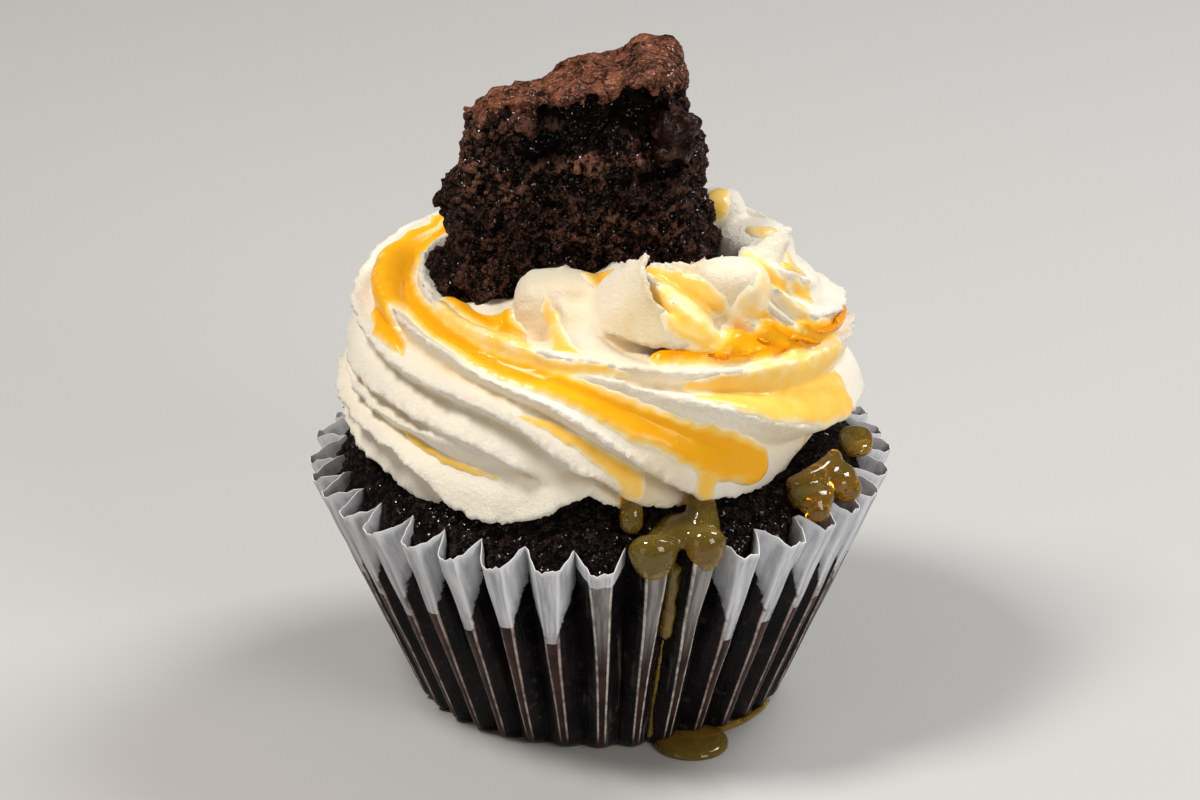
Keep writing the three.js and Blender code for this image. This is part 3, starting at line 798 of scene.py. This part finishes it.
bpy.ops.mesh.primitive_cube_add(size=2 * MM)
brownie = bpy.context.object
brownie.name = brownie.data.name = "brownie_chunk"
bpy.ops.object.mode_set(mode="EDIT")
bpy.ops.mesh.subdivide(number_cuts=59)
bpy.ops.object.mode_set(mode="OBJECT")
x, y, z = vertices_of(brownie).T
rough_height = BROWNIE_LOW + (BROWNIE_HIGH - BROWNIE_LOW) * (z + 1) / 2
round_off = 1 - 0.12 * (x * y) ** 2
left, right = through(LEFT_EDGE, rough_height)[:, 0], through(RIGHT_EDGE, rough_height)[:, 0]
sideways = left + (right - left) * (x * round_off + 1) / 2
depth = BROWNIE_FRONT + (BROWNIE_BACK - BROWNIE_FRONT) * (y * round_off + 1) / 2
depth += BROWNIE_TURN * (sideways - BROWNIE_MIDDLE)
top, fall = through(TOP_EDGE, sideways).T
top = top - fall * (depth - BROWNIE_FRONT)
height = BROWNIE_LOW + (top - BROWNIE_LOW) * (z + 1) / 2
height -= 0.8 * blend_step(z, 0.9, 1) * (x ** 8 + y ** 8)                # the crust's edge droops
move_vertices(brownie, np.stack([sideways, depth, height], axis=-1))
remesh(brownie, 0.27)
set_random_lumps(brownie, 7.0, 1.6)

places = vertices_of(brownie)
_, normals = smoothed_places(brownie, 8)
top, fall = through(TOP_EDGE, places[:, 0]).T
under = top - fall * (places[:, 1] - BROWNIE_FRONT) - places[:, 2]
ragged = (0.7 * np.sin(places[:, 0] * 1.1) + 0.5 * np.sin(places[:, 0] * 2.7 + 1)
          + 0.4 * np.sin(places[:, 1] * 1.9))
crust = 1 - blend_step(under, CRUST + ragged - 0.9, CRUST + ragged + 0.7)
front = blend_step(-normals[:, 1], 0.3, 0.8)
# Painted shade: each hollow adds to the shade kept for the colour, and each lump takes from it as painted
# light.
shade = np.zeros(len(places))
for across, up, half_width, half_height, hollow in FRONT_RELIEF:
    away = ((places[:, 0] - across) / half_width) ** 2 + ((places[:, 2] - up) / half_height) ** 2
    into = front * hollow * np.exp(-away * 0.8)
    shade += into
    places[:, 1] += into * (1 - 0.6 * crust * (hollow < 2.4))
# painted light: the upper left of the chunk is painted lighter
shade -= 1.2 * blend_step(-places[:, 0], 13, 18) * blend_step(places[:, 2], 72, 80)
places[:, :2] += normals[:, :2] * (crust * 0.35)[:, None]
move_vertices(brownie, places)
weights(brownie, "crust", crust)
weights(brownie, "crumb", 1 - 0.85 * crust)
store(brownie, "baked", crust)
store(brownie, "shade", shade)
set_random_lumps(brownie, 3.4, 3.2, group="crumb", depth=1)
set_random_lumps(brownie, 1.5, 1.5, group="crumb", depth=1)
set_random_lumps(brownie, 0.8, -0.8, kind="VORONOI", group="crumb")
set_random_lumps(brownie, 4.5, 2.4, group="crust", depth=1)
set_random_lumps(brownie, 1.3, 0.8, group="crust", depth=3)
# how far the brownie stands out, kept for the painted shade in its pits and in the dips of its crust
store_relief(brownie, 18)
bpy.ops.object.shade_smooth()


def cells(tree, place, apart, feature="F1"):
    """How far each place is from the middle, or the edge, of a cell; the cells lie this far apart."""
    made = node(tree, "ShaderNodeTexVoronoi", feature=feature)
    made.inputs["Scale"].default_value = 1.0 / (apart * MM)
    link(tree, place, made.inputs["Vector"])
    return made.outputs["Distance"]


def brownie_crumb():
    material, tree, shader = moist_crumb("brownie_crumb", (0.003, 0.0015, 0.0012), (0.1, 0.05, 0.04), 0.9)
    place = object_place(tree)
    crust, shade = stored(tree, "baked"), stored(tree, "shade")
    fine = noise(tree, place, 0.5, 5.0, 0.8)
    tone = noise(tree, place, 3.5, 5.0, 0.65)

    # Painted light and shade: the crumb that stands out is painted reddish, and black in the hollows.
    crumb = shader.inputs["Base Color"].links[0].from_node
    warm = layered(
        tree, (0.26, 0.110, 0.070), (ramp_between(tree, shade, -1.4, 0.0), (0.10, 0.044, 0.033)),
        (ramp_between(tree, shade, 0.3, 1.6), (0.012, 0.006, 0.005)))
    link(tree, warm, crumb.inputs[7])

    # The crust cracked as the chunk was torn off; it is dull and warm, black in its cracks.
    # Noise bends the straight edges of the cells that make the cracks.
    bent = node(tree, "ShaderNodeVectorMath", operation="MULTIPLY_ADD")
    link(tree, noise(tree, place, 4.0, 3.0).node.outputs["Color"], bent.inputs[0])
    bent.inputs[1].default_value = (5.0 * MM, 5.0 * MM, 5.0 * MM)
    link(tree, place, bent.inputs[2])
    closed = math_node(tree, "ADD", cells(tree, bent.outputs[0], 6.5, "DISTANCE_TO_EDGE"),
                       ramp_between(tree, tone, 0.55, 0.7, 0.0, 0.08))
    # Painted shade darkens the crust where it dips, and its pale specks are painted glints.
    skin = layered(
        tree, (0.040, 0.012, 0.007), (ramp_between(tree, tone, 0.38, 0.66), (0.235, 0.080, 0.044)),
        (ramp_between(tree, fine, 0.52, 0.64, 0.0, 0.9), (0.48, 0.24, 0.15)),
        (ramp_between(tree, fine, 0.3, 0.48, 0.8, 0.0), (0.022, 0.007, 0.004)),
        (ramp_between(tree, stored(tree, "relief"), -0.4, 0.0, 1.0, 0.0), (0.012, 0.004, 0.003)),
        (ramp_between(tree, closed, 0.0, 0.05, 1.0, 0.0), (0.015, 0.006, 0.004)))
    edge = ramp_between(tree, math_node(tree, "ADD", crust, swing(tree, fine, 1.5)), 0.35, 0.65)
    link(tree, layered(tree, crumb.outputs[2], (edge, skin)), shader.inputs["Base Color"])
    link(tree, ramp_between(tree, crust, 0.0, 1.0, 0.75, 0.42), shader.inputs["Roughness"])
    wet = shader.inputs["Coat Weight"].links[0].from_socket
    link(tree, product(tree, wet, ramp_between(tree, crust, 0.0, 1.0, 1.0, 0.8)),
         shader.inputs["Coat Weight"])
    return material


brownie.data.materials.append(brownie_crumb())
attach(brownie, "root")
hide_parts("brownie")

# A chunk of dark chocolate baked into the brownie shows in the tear at the right.
chunk = dab((10.0, -5.0, 82.0), (2.4, 2.0, 3.0), 1.0)
chunk.name = chunk.data.name = "chocolate_chunk"
remesh(chunk, 0.25)
set_random_lumps(chunk, 2.2, 2.6, kind="VORONOI", middle=0.3)
set_random_lumps(chunk, 1.4, 1.0, depth=1)
smooth(chunk, 3)
bpy.ops.object.shade_smooth()


def dark_chocolate():
    material, tree, shader = new_material("dark_chocolate", 0.3, 0.1)
    place = object_place(tree)
    bloom = ramp_between(tree, noise(tree, place, 1.4, 4.0, 0.65), 0.5, 0.7)
    colour = layered(tree, (0.010, 0.004, 0.003), (bloom, (0.065, 0.030, 0.018)))
    link(tree, colour, shader.inputs["Base Color"])
    bump(tree, shader, noise(tree, place, 1.2, 3.0), 0.5, 0.8)
    return material


chunk.data.materials.append(dark_chocolate())
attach(chunk, "root")


# ------------------------------------------------------------------------------ caramel
# Warm caramel sauce poured over the cream. It filled the grooves between the ridges, ran thin
# over the crests, and crept to rounded edges. Each stream has how thick it lies, how far it
# fills the hollows, and its way over the cream, as points with half its width there.
STREAMS = [
    # the main stream, from under the brownie down the groove across the front
    (1.0, 0.5, [
        (-26, -3, 59, 1.3), (-25, -9, 59, 2.2), (-20, -19, 58, 2.6), (-16, -24, 57, 2.6),
        (-10.5, -27.5, 56, 2.6), (-5, -30.5, 55, 2.6), (0, -32, 54, 2.8), (5, -32.5, 51.5, 2.9),
        (10.5, -31.5, 49, 3.2), (16, -29.5, 46, 3.8), (20, -26, 43, 3.2)]),
    # the pool between the brownie and the last turn, and the film from it over the crest
    (1.0, 1.2, [
        (-22, -11, 58, 1.5), (-17, -15, 57.5, 2.2), (-12.4, -14, 58.5, 1.8), (-12, -19, 57.5, 2.2),
        (-12, -22, 58.5, 2)]),
    (0.45, 0.3, [
        (-21.5, -14, 60.5, 1.6), (-19.5, -19.2, 60.8, 2.4), (-16.1, -22.1, 60.6, 2.6),
        (-12.7, -24.6, 60.5, 2.6), (-9.4, -27.1, 58.4, 2.2), (-5, -28.5, 58, 1.5),
        (0.7, -29.8, 58.6, 0.9)]),
    # a streak down the left lobe of the last turn
    (0.3, 0.6, [
        (-7.9, -16, 64.4, 0.8), (-7.1, -17.3, 61.8, 1.1), (-5.6, -20.6, 59.5, 1.4),
        (-4.5, -25, 58, 1.7), (-3.3, -28.9, 60.1, 1.5), (0.7, -29.8, 58.6, 1), (5.3, -29.9, 57.6, 0.5)]),
    # the crescent at the left
    (1.2, 0.45, [
        (-11, 23, 61, 0.3), (-17, 19, 61, 1), (-21.9, 13.5, 61, 1.8), (-24.6, 8.6, 60.5, 2.6),
        (-26.6, 4.3, 60.4, 3.1), (-28.2, -1.6, 60.4, 3.2), (-28.9, -8, 59.9, 3.1),
        (-28.8, -10.5, 58.2, 2.8), (-28.4, -13.5, 57, 2.2), (-27.6, -16.5, 56.6, 1.3),
        (-26.6, -19.6, 56, 0.3)]),
    # thin threads low down in the first turn's grooves
    (0.5, 0.5, [
        (-27.3, -20.6, 47.1, 0.25), (-25.6, -21, 44.9, 0.45), (-23.5, -23.4, 44.2, 0.45),
        (-20.8, -25.9, 43.5, 0.5), (-17.4, -28.2, 43.1, 0.45), (-13.4, -30.4, 42.6, 0.35)]),
    # down the ridge below the main stream to the drip that hangs from it
    (0.5, 0.6, [
        (-17.5, -29.5, 54, 0.2), (-13.5, -32, 53.5, 0.4), (-9.5, -32.5, 52, 0.6),
        (-5.5, -33, 50.5, 0.9), (-1.5, -33.5, 48.5, 1.3), (1.5, -33.5, 46.5, 1.7),
        (4, -33.5, 43.5, 2.2), (4.3, -32.5, 40.5, 1.9), (4.4, -31.5, 38.8, 1.8)]),
    (0.6, 0.5, [(14, -31.5, 43.5, 1.8), (13.7, -31.7, 40.5, 1.9), (13.6, -30.5, 38.8, 1.8)]),
    # on the last turn: behind the fold, in the valleys right of it and round the knob
    (0.5, 0.8, [(-1.8, -12, 64, 1.8), (0.7, -13, 64.5, 2.8), (2.9, -13.5, 65.5, 2.0)]),
    (0.5, 0.5, [
        (7, -12, 65.4, 1.7), (8, -19, 64.7, 2.1), (10.7, -22.3, 62.4, 2.5), (14.1, -22.7, 59.7, 2.3),
        (17.5, -21, 57.2, 1.8)]),
    (0.45, 0.4, [(10.8, -15, 65.9, 1.9), (13.4, -17.2, 64.6, 2.2), (15.5, -18.2, 63.3, 1.9)]),
    (0.4, 0.5, [(19.1, -18.2, 63.6, 0.9), (22.2, -15.2, 59.7, 1.2), (24.6, -13.4, 56.9, 1.2)]),
    (0.4, 0.4, [
        (21.6, -10.1, 65.8, 1.4), (23.6, -10.6, 62.6, 1.7), (25.6, -13.3, 61.6, 1.5),
        (27.7, -12.4, 59, 1.5)]),
    (0.25, 0.25, [
        (8.1, -13.2, 65.2, 1.5), (9.8, -15, 64.6, 2.4), (11.5, -18, 63.6, 2.8), (13.5, -20.5, 61.8, 2.4)]),
    (0.25, 0.3, [
        (19.5, -8.5, 66.6, 1.6), (21, -12, 65.6, 2.4), (21.5, -16, 64.2, 2.6), (20, -18.3, 62.5, 2.4),
        (18.5, -20.3, 59.5, 2.2)]),
    # the deep pool in the groove under the last turn
    (1.8, 1.2, [
        (8, -24.2, 57.1, 1.5), (13.4, -22.4, 57, 2.3), (18.8, -20.2, 57.2, 2.8),
        (24.2, -16.3, 56.7, 3.1), (29.1, -8.7, 55.2, 2.6), (32.1, 4.3, 51.5, 1.2)]),
    # over the end of the ridge at the right
    (0.4, 0.2, [
        (12, -28.4, 55.5, 1), (17.4, -26.3, 54.9, 2.2), (22.8, -22.6, 54.1, 2.6),
        (28.3, -16.5, 53, 2.8), (32.2, -9.2, 52.2, 2.2)]),
    (0.4, 0.3, [
        (14, -29, 55.5, 1), (18, -27.5, 54, 2), (23.5, -23.5, 52.8, 2.4), (29, -17.5, 51.5, 2.6),
        (32.8, -11.5, 50, 2.4)]),
    (0.55, 0.2, [
        (13.4, -30.3, 54.8, 0.8), (18.7, -28, 53.2, 2.6), (24.2, -24, 51.2, 3.4),
        (29.6, -18.5, 49, 3.6), (33.1, -14, 47, 2.8)]),
    (0.4, 0.5, [(29, -17.5, 44, 0.9), (29.3, -17.5, 42, 1), (29.4, -17, 40, 0.9)]),
    # spots at the back right
    (0.4, 0.0, [(15.9, 8.4, 65.3, 1.8), (15.9, 9.4, 66.3, 2), (16.6, 11.5, 67, 1.6)]),
    (0.35, 0.2, [(20.7, 4.4, 64.2, 1.4), (22, 4.5, 64.2, 1.5), (23.8, 5.5, 63.8, 1.2)]),
    (0.4, 0.6, [
        (25, -4.5, 64.5, 0.8), (26, -4, 62.5, 1.6), (26.5, -9.5, 63, 1.4), (27.5, -8.5, 59.5, 0.8)]),
    (0.3, 0.3, [
        (25.7, -1, 62.6, 1.2), (26.6, -2.5, 61.5, 1.4), (27.6, -7, 61, 1.6), (28.1, -8.3, 59.5, 1.4)]),
]
SAUCE_EDGE = 1.2                 # a stream's edge rounds up over this width
SAUCE_BELOW = 0.5                # how far its underside reaches into the cream
SAUCE_RIM = -0.6                 # how deep its edge dips into the cream
NO_SAUCE = -9.0                  # the depth where there is none at all
STREAM_STEP = 1.5                # a stream is laid on the cream again after every step


def sauce_depth(places, hollow):
    """How deep the sauce lies at each place on the cream, none below zero, and how deep it looks."""
    depth = np.full(len(places), NO_SAUCE)
    tint = np.full(len(places), NO_SAUCE)
    for thick, fill, points in STREAMS:
        points = np.array(points)
        way = [first + share * (last - first) for first, last in zip(points[:-1], points[1:])
               for share in np.arange(0, 1, STREAM_STEP / np.linalg.norm(last - first))]
        points = np.array([*way, points[-1]])
        for point in points:
            point[:3] = places[np.argmin(np.sum((places - point[:3]) ** 2, axis=1))]
        inside = np.full(len(places), NO_SAUCE)
        half = np.ones(len(places))
        for first, last in zip(points[:-1], points[1:]):
            along = last[:3] - first[:3]
            share = np.clip((places - first[:3]) @ along / max(along @ along, 1e-6), 0, 1)
            gap = np.linalg.norm(places - first[:3] - share[:, None] * along, axis=1)
            width = first[3] + share * (last[3] - first[3])
            half = np.where(width - gap > inside, width, half)
            inside = np.maximum(inside, width - gap)
        inside += 0.16 * np.sin(places @ (0.8, 0.5, 0.7)) + 0.1 * np.sin(places @ (-1.7, 1.3, 2.3))
        edge = np.clip(inside / SAUCE_EDGE, 0, 1)
        here = fill * hollow + thick * np.sqrt(edge) - 2.0 * np.clip(-inside, 0, 3)
        depth = np.maximum(depth, np.where(inside > -1.0, here, NO_SAUCE))
        tint = np.maximum(tint, here * (0.45 + 0.55 * blend_step(inside / half, 0.0, 0.5)))
    return depth, tint


places = vertices_of(cream)
level_places, level_normals = smoothed_places(cream, 60)
hollow = np.sum((level_places - places) * level_normals, axis=1)
depth, tint = sauce_depth(places, hollow)
bpy.ops.object.duplicate()                                # the sauce is a skin lifted off the cream
sauce = bpy.context.object
sauce.name = sauce.data.name = "caramel_streams"
sauce.data.materials.clear()
move_vertices(sauce, places + level_normals * np.clip(depth, SAUCE_RIM, 3.0)[:, None])
store(sauce, "depth", np.clip(tint, -1, 4))
weights(sauce, "deep", blend_step(depth, 0.9, 1.7))
delete_parts(sauce, "FACE", lambda mesh: [
    face for face in mesh.faces if all(depth[corner.index] < SAUCE_RIM for corner in face.verts)])
# Patches that touch in one point alone are parted there.
delete_parts(sauce, "VERT", lambda mesh: [
    corner for corner in mesh.verts if sum(edge.is_boundary for edge in corner.link_edges) > 2])
delete_parts(sauce, "VERT", flecks)
smooth(sauce, 4)
smooth(sauce, 7, group="deep")
apply_modifier(sauce, "SOLIDIFY", thickness=SAUCE_BELOW * MM, offset=-1.0)
bpy.ops.object.shade_smooth()


def caramel_on_cream():
    material, tree, shader = new_material("caramel_on_cream", 0.15, 0.13)
    place = object_place(tree)
    depth = math_node(tree, "ADD", stored(tree, "depth"), swing(tree, noise(tree, place, 2.5, 3.0), 0.5))
    colour = layered(
        tree, (0.90, 0.78, 0.56), (ramp_between(tree, depth, 0.0, 0.4), (0.95, 0.60, 0.14)),
        (ramp_between(tree, depth, 0.3, 1.0), (0.95, 0.43, 0.012)),
        (ramp_between(tree, depth, 0.95, 2.0), (0.90, 0.33, 0.003)),
        (ramp_between(tree, depth, 2.2, 3.4), (0.66, 0.20, 0.004)))
    link(tree, colour, shader.inputs["Base Color"])
    soft_inside(shader, 0.2, (1.0, 0.5, 0.1), 1.0)
    bump(tree, shader, ramp_between(tree, cells(tree, place, 1.6), 0.05, 0.16), 0.08, 0.5)
    return material


sauce.data.materials.append(caramel_on_cream())
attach(sauce, "root")


# ------------------------------------------------------------------------------ caramel drips
# Where the sauce left the cream it is clear: drips that hang from the lowest ridge, drops caught
# in the pleats of the case, a run down one pleat, and a puddle at the foot.
DRIPS = [                        # each a trail of points with its radius there
    [(4.2, -29.5, 41, 1), (4.2, -31, 40, 1.4), (4.2, -32.5, 39, 1.6), (4.2, -33, 37.8, 1.65),
     (4.2, -33.2, 36.8, 1.5), (4.2, -33.2, 36, 0.6)],
    [(13.6, -28.5, 40.5, 1.6), (13.6, -30, 39, 2), (13.6, -31.9, 37, 2.5), (13.9, -33.5, 35.4, 2.4)],
    [(10, -34.7, 32, 1.3), (9.7, -34, 30, 0.9), (9.6, -33.4, 28.4, 1.2), (9.4, -32.8, 26, 0.8),
     (9.2, -32.2, 24, 1.1), (9, -31.6, 22, 0.9), (8.8, -31, 20.3, 1), (8.7, -30.8, 19.2, 0.3)],
    [(8.5, -30, 19, 0.3), (7.7, -27.4, 12, 0.45), (7, -25, 6, 0.4), (6.7, -23.7, 1.5, 0.6)],
    [(12.7, -22.0, 0.6, 0.9), (16.2, -19.2, 0.4, 0.6), (19.3, -16.0, 0.3, 0.6),
     (21.8, -12.4, 0.35, 0.5), (23.3, -9.2, 0.3, 0.3)],
    [(7.1, -35.2, 36.2, 2.2), (7.1, -36.1, 35.1, 3.4), (7.1, -36.8, 33.7, 3.1), (7.1, -37.1, 32.2, 2.3),
     (7.1, -37.1, 31, 0.8)],
    [(14.1, -33.8, 36.8, 2), (14.1, -34.5, 35.7, 2.9), (14.1, -35.2, 34.3, 2.7), (14.1, -35.6, 32.8, 2),
     (14.1, -35.6, 31.6, 0.7)],
    [(25.4, -21.4, 38, 0.9), (28, -19.6, 38, 1.4), (30.6, -16.2, 38.2, 1.5), (32, -12.6, 38.6, 1.1)],
]
POOLS = [                        # drops caught in the pleats: middle, half sizes, squareness
    ((11.7, -32.2, 36.3), (4.3, 3.6, 1.7), 0.2), ((9.2, -33.8, 35.6), (3.0, 2.6, 1.5), 0.2),
    ((28.5, -21.2, 36.2), (3.3, 3.2, 1.8), 0.1), ((29.3, -23, 35), (1.9, 1.9, 1.8), 0.1),
    ((32.3, -16.0, 36.6), (2.6, 3.4, 1.9), 0.1), ((33.6, -17.2, 35.5), (1.9, 1.8, 1.8), 0.1),
    ((34.9, -1, 35.5), (2.6, 4.4, 1.2), 0.4)]
PUDDLE = ((12.5, -23, 0.35), (5.2, 5.5, 1.5))             # its middle and half sizes
TABLE_GAP = 0.05                 # the puddle's flat underside stays this far above the table

drips = dab(*PUDDLE, sides=64)
drips.name = drips.data.name = "caramel_drips"
join_into(drips, [smear(points) for points in DRIPS] + [dab(*sizes) for sizes in POOLS])
remesh(drips, 0.3)
smooth(drips, 16)
bpy.ops.object.mode_set(mode="EDIT")
bpy.ops.mesh.select_all(action="SELECT")
bpy.ops.mesh.bisect(plane_co=(0, 0, TABLE_GAP * MM), plane_no=(0, 0, 1), clear_inner=True,
                    use_fill=True, threshold=0.001 * MM)
bpy.ops.object.mode_set(mode="OBJECT")
bpy.ops.object.shade_smooth()


def clear_caramel():
    material, tree, shader = new_material("clear_caramel", 0.05, 0.45)
    place = object_place(tree)
    colour = layered(tree, (0.74, 0.47, 0.06), (noise(tree, place, 2.0, 3.0), (0.88, 0.62, 0.12)))
    link(tree, colour, shader.inputs["Base Color"])
    shader.inputs["Transmission Weight"].default_value = 0.86
    shader.inputs["IOR"].default_value = 1.46
    bump(tree, shader, ramp_between(tree, cells(tree, place, 1.3), 0.03, 0.22), 0.28)
    inside = node(tree, "ShaderNodeVolumeAbsorption")
    inside.inputs["Color"].default_value = (0.82, 0.62, 0.04, 1.0)
    inside.inputs["Density"].default_value = 320.0
    link(tree, inside.outputs[0], tree.nodes["Material Output"].inputs["Volume"])
    return material


drips.data.materials.append(clear_caramel())
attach(drips, "root")


# ------------------------------------------------------------------------------ studio
# A plain pale table, four soft lights, and a camera that looks down on the front from so far
# away that the view is almost parallel.
CAMERA_RISE = 23.2               # degrees above level
CAMERA_AWAY = 1500.0             # its distance
CAMERA_AIM = 41.2                # the height it looks at
FRAME_WIDTH = 163.9              # width of the view where the cupcake stands
SENSOR = 36.0
LIGHT_AIM = 45                   # the height the lights point at

bpy.ops.mesh.primitive_plane_add(size=6.0, location=(0, 0, 0))
table = bpy.context.object
table.name = table.data.name = "table"
material, tree, shader = new_material("pale_table", 0.6)
shader.inputs["Base Color"].default_value = (0.50, 0.495, 0.485, 1.0)
table.data.materials.append(material)


def soft_light(name, place, size, power, colour):
    """A square light that points at the cupcake's middle."""
    bpy.ops.object.light_add(type="AREA", location=[value * MM for value in place])
    light = bpy.context.object
    light.name = name
    light.data.size = size * MM
    light.data.energy = power
    light.data.color = colour
    across, away, up = place[0], place[1], place[2] - LIGHT_AIM
    light.rotation_euler = (math.atan2(math.hypot(across, away), up), 0, math.atan2(across, -away))


soft_light("key", (-270, -90, 540), 140, 2.8, (1.0, 0.965, 0.91))
soft_light("fill", (400, -480, 320), 300, 2.1, (1.0, 0.98, 0.94))
soft_light("side", (-420, -380, 160), 260, 0.3, (1.0, 0.93, 0.82))
soft_light("back", (330, 220, 500), 240, 2.9, (1.0, 1.0, 1.0))
bpy.context.scene.world = bpy.data.worlds.new("studio")
bpy.context.scene.world.use_nodes = True
sky = bpy.context.scene.world.node_tree.nodes["Background"]
sky.inputs["Color"].default_value = (1.0, 0.94, 0.85, 1.0)
sky.inputs["Strength"].default_value = 0.06

tilt = math.radians(CAMERA_RISE)
bpy.ops.object.camera_add(
    location=(0, -CAMERA_AWAY * math.cos(tilt) * MM, (CAMERA_AIM + CAMERA_AWAY * math.sin(tilt)) * MM),
    rotation=(math.pi / 2 - tilt, 0, 0))
camera = bpy.context.object
camera.data.sensor_width = SENSOR
camera.data.lens = SENSOR * CAMERA_AWAY / FRAME_WIDTH
camera.data.clip_end = 20.0
bpy.context.scene.camera = camera
bpy.context.scene.view_settings.view_transform = "Standard"
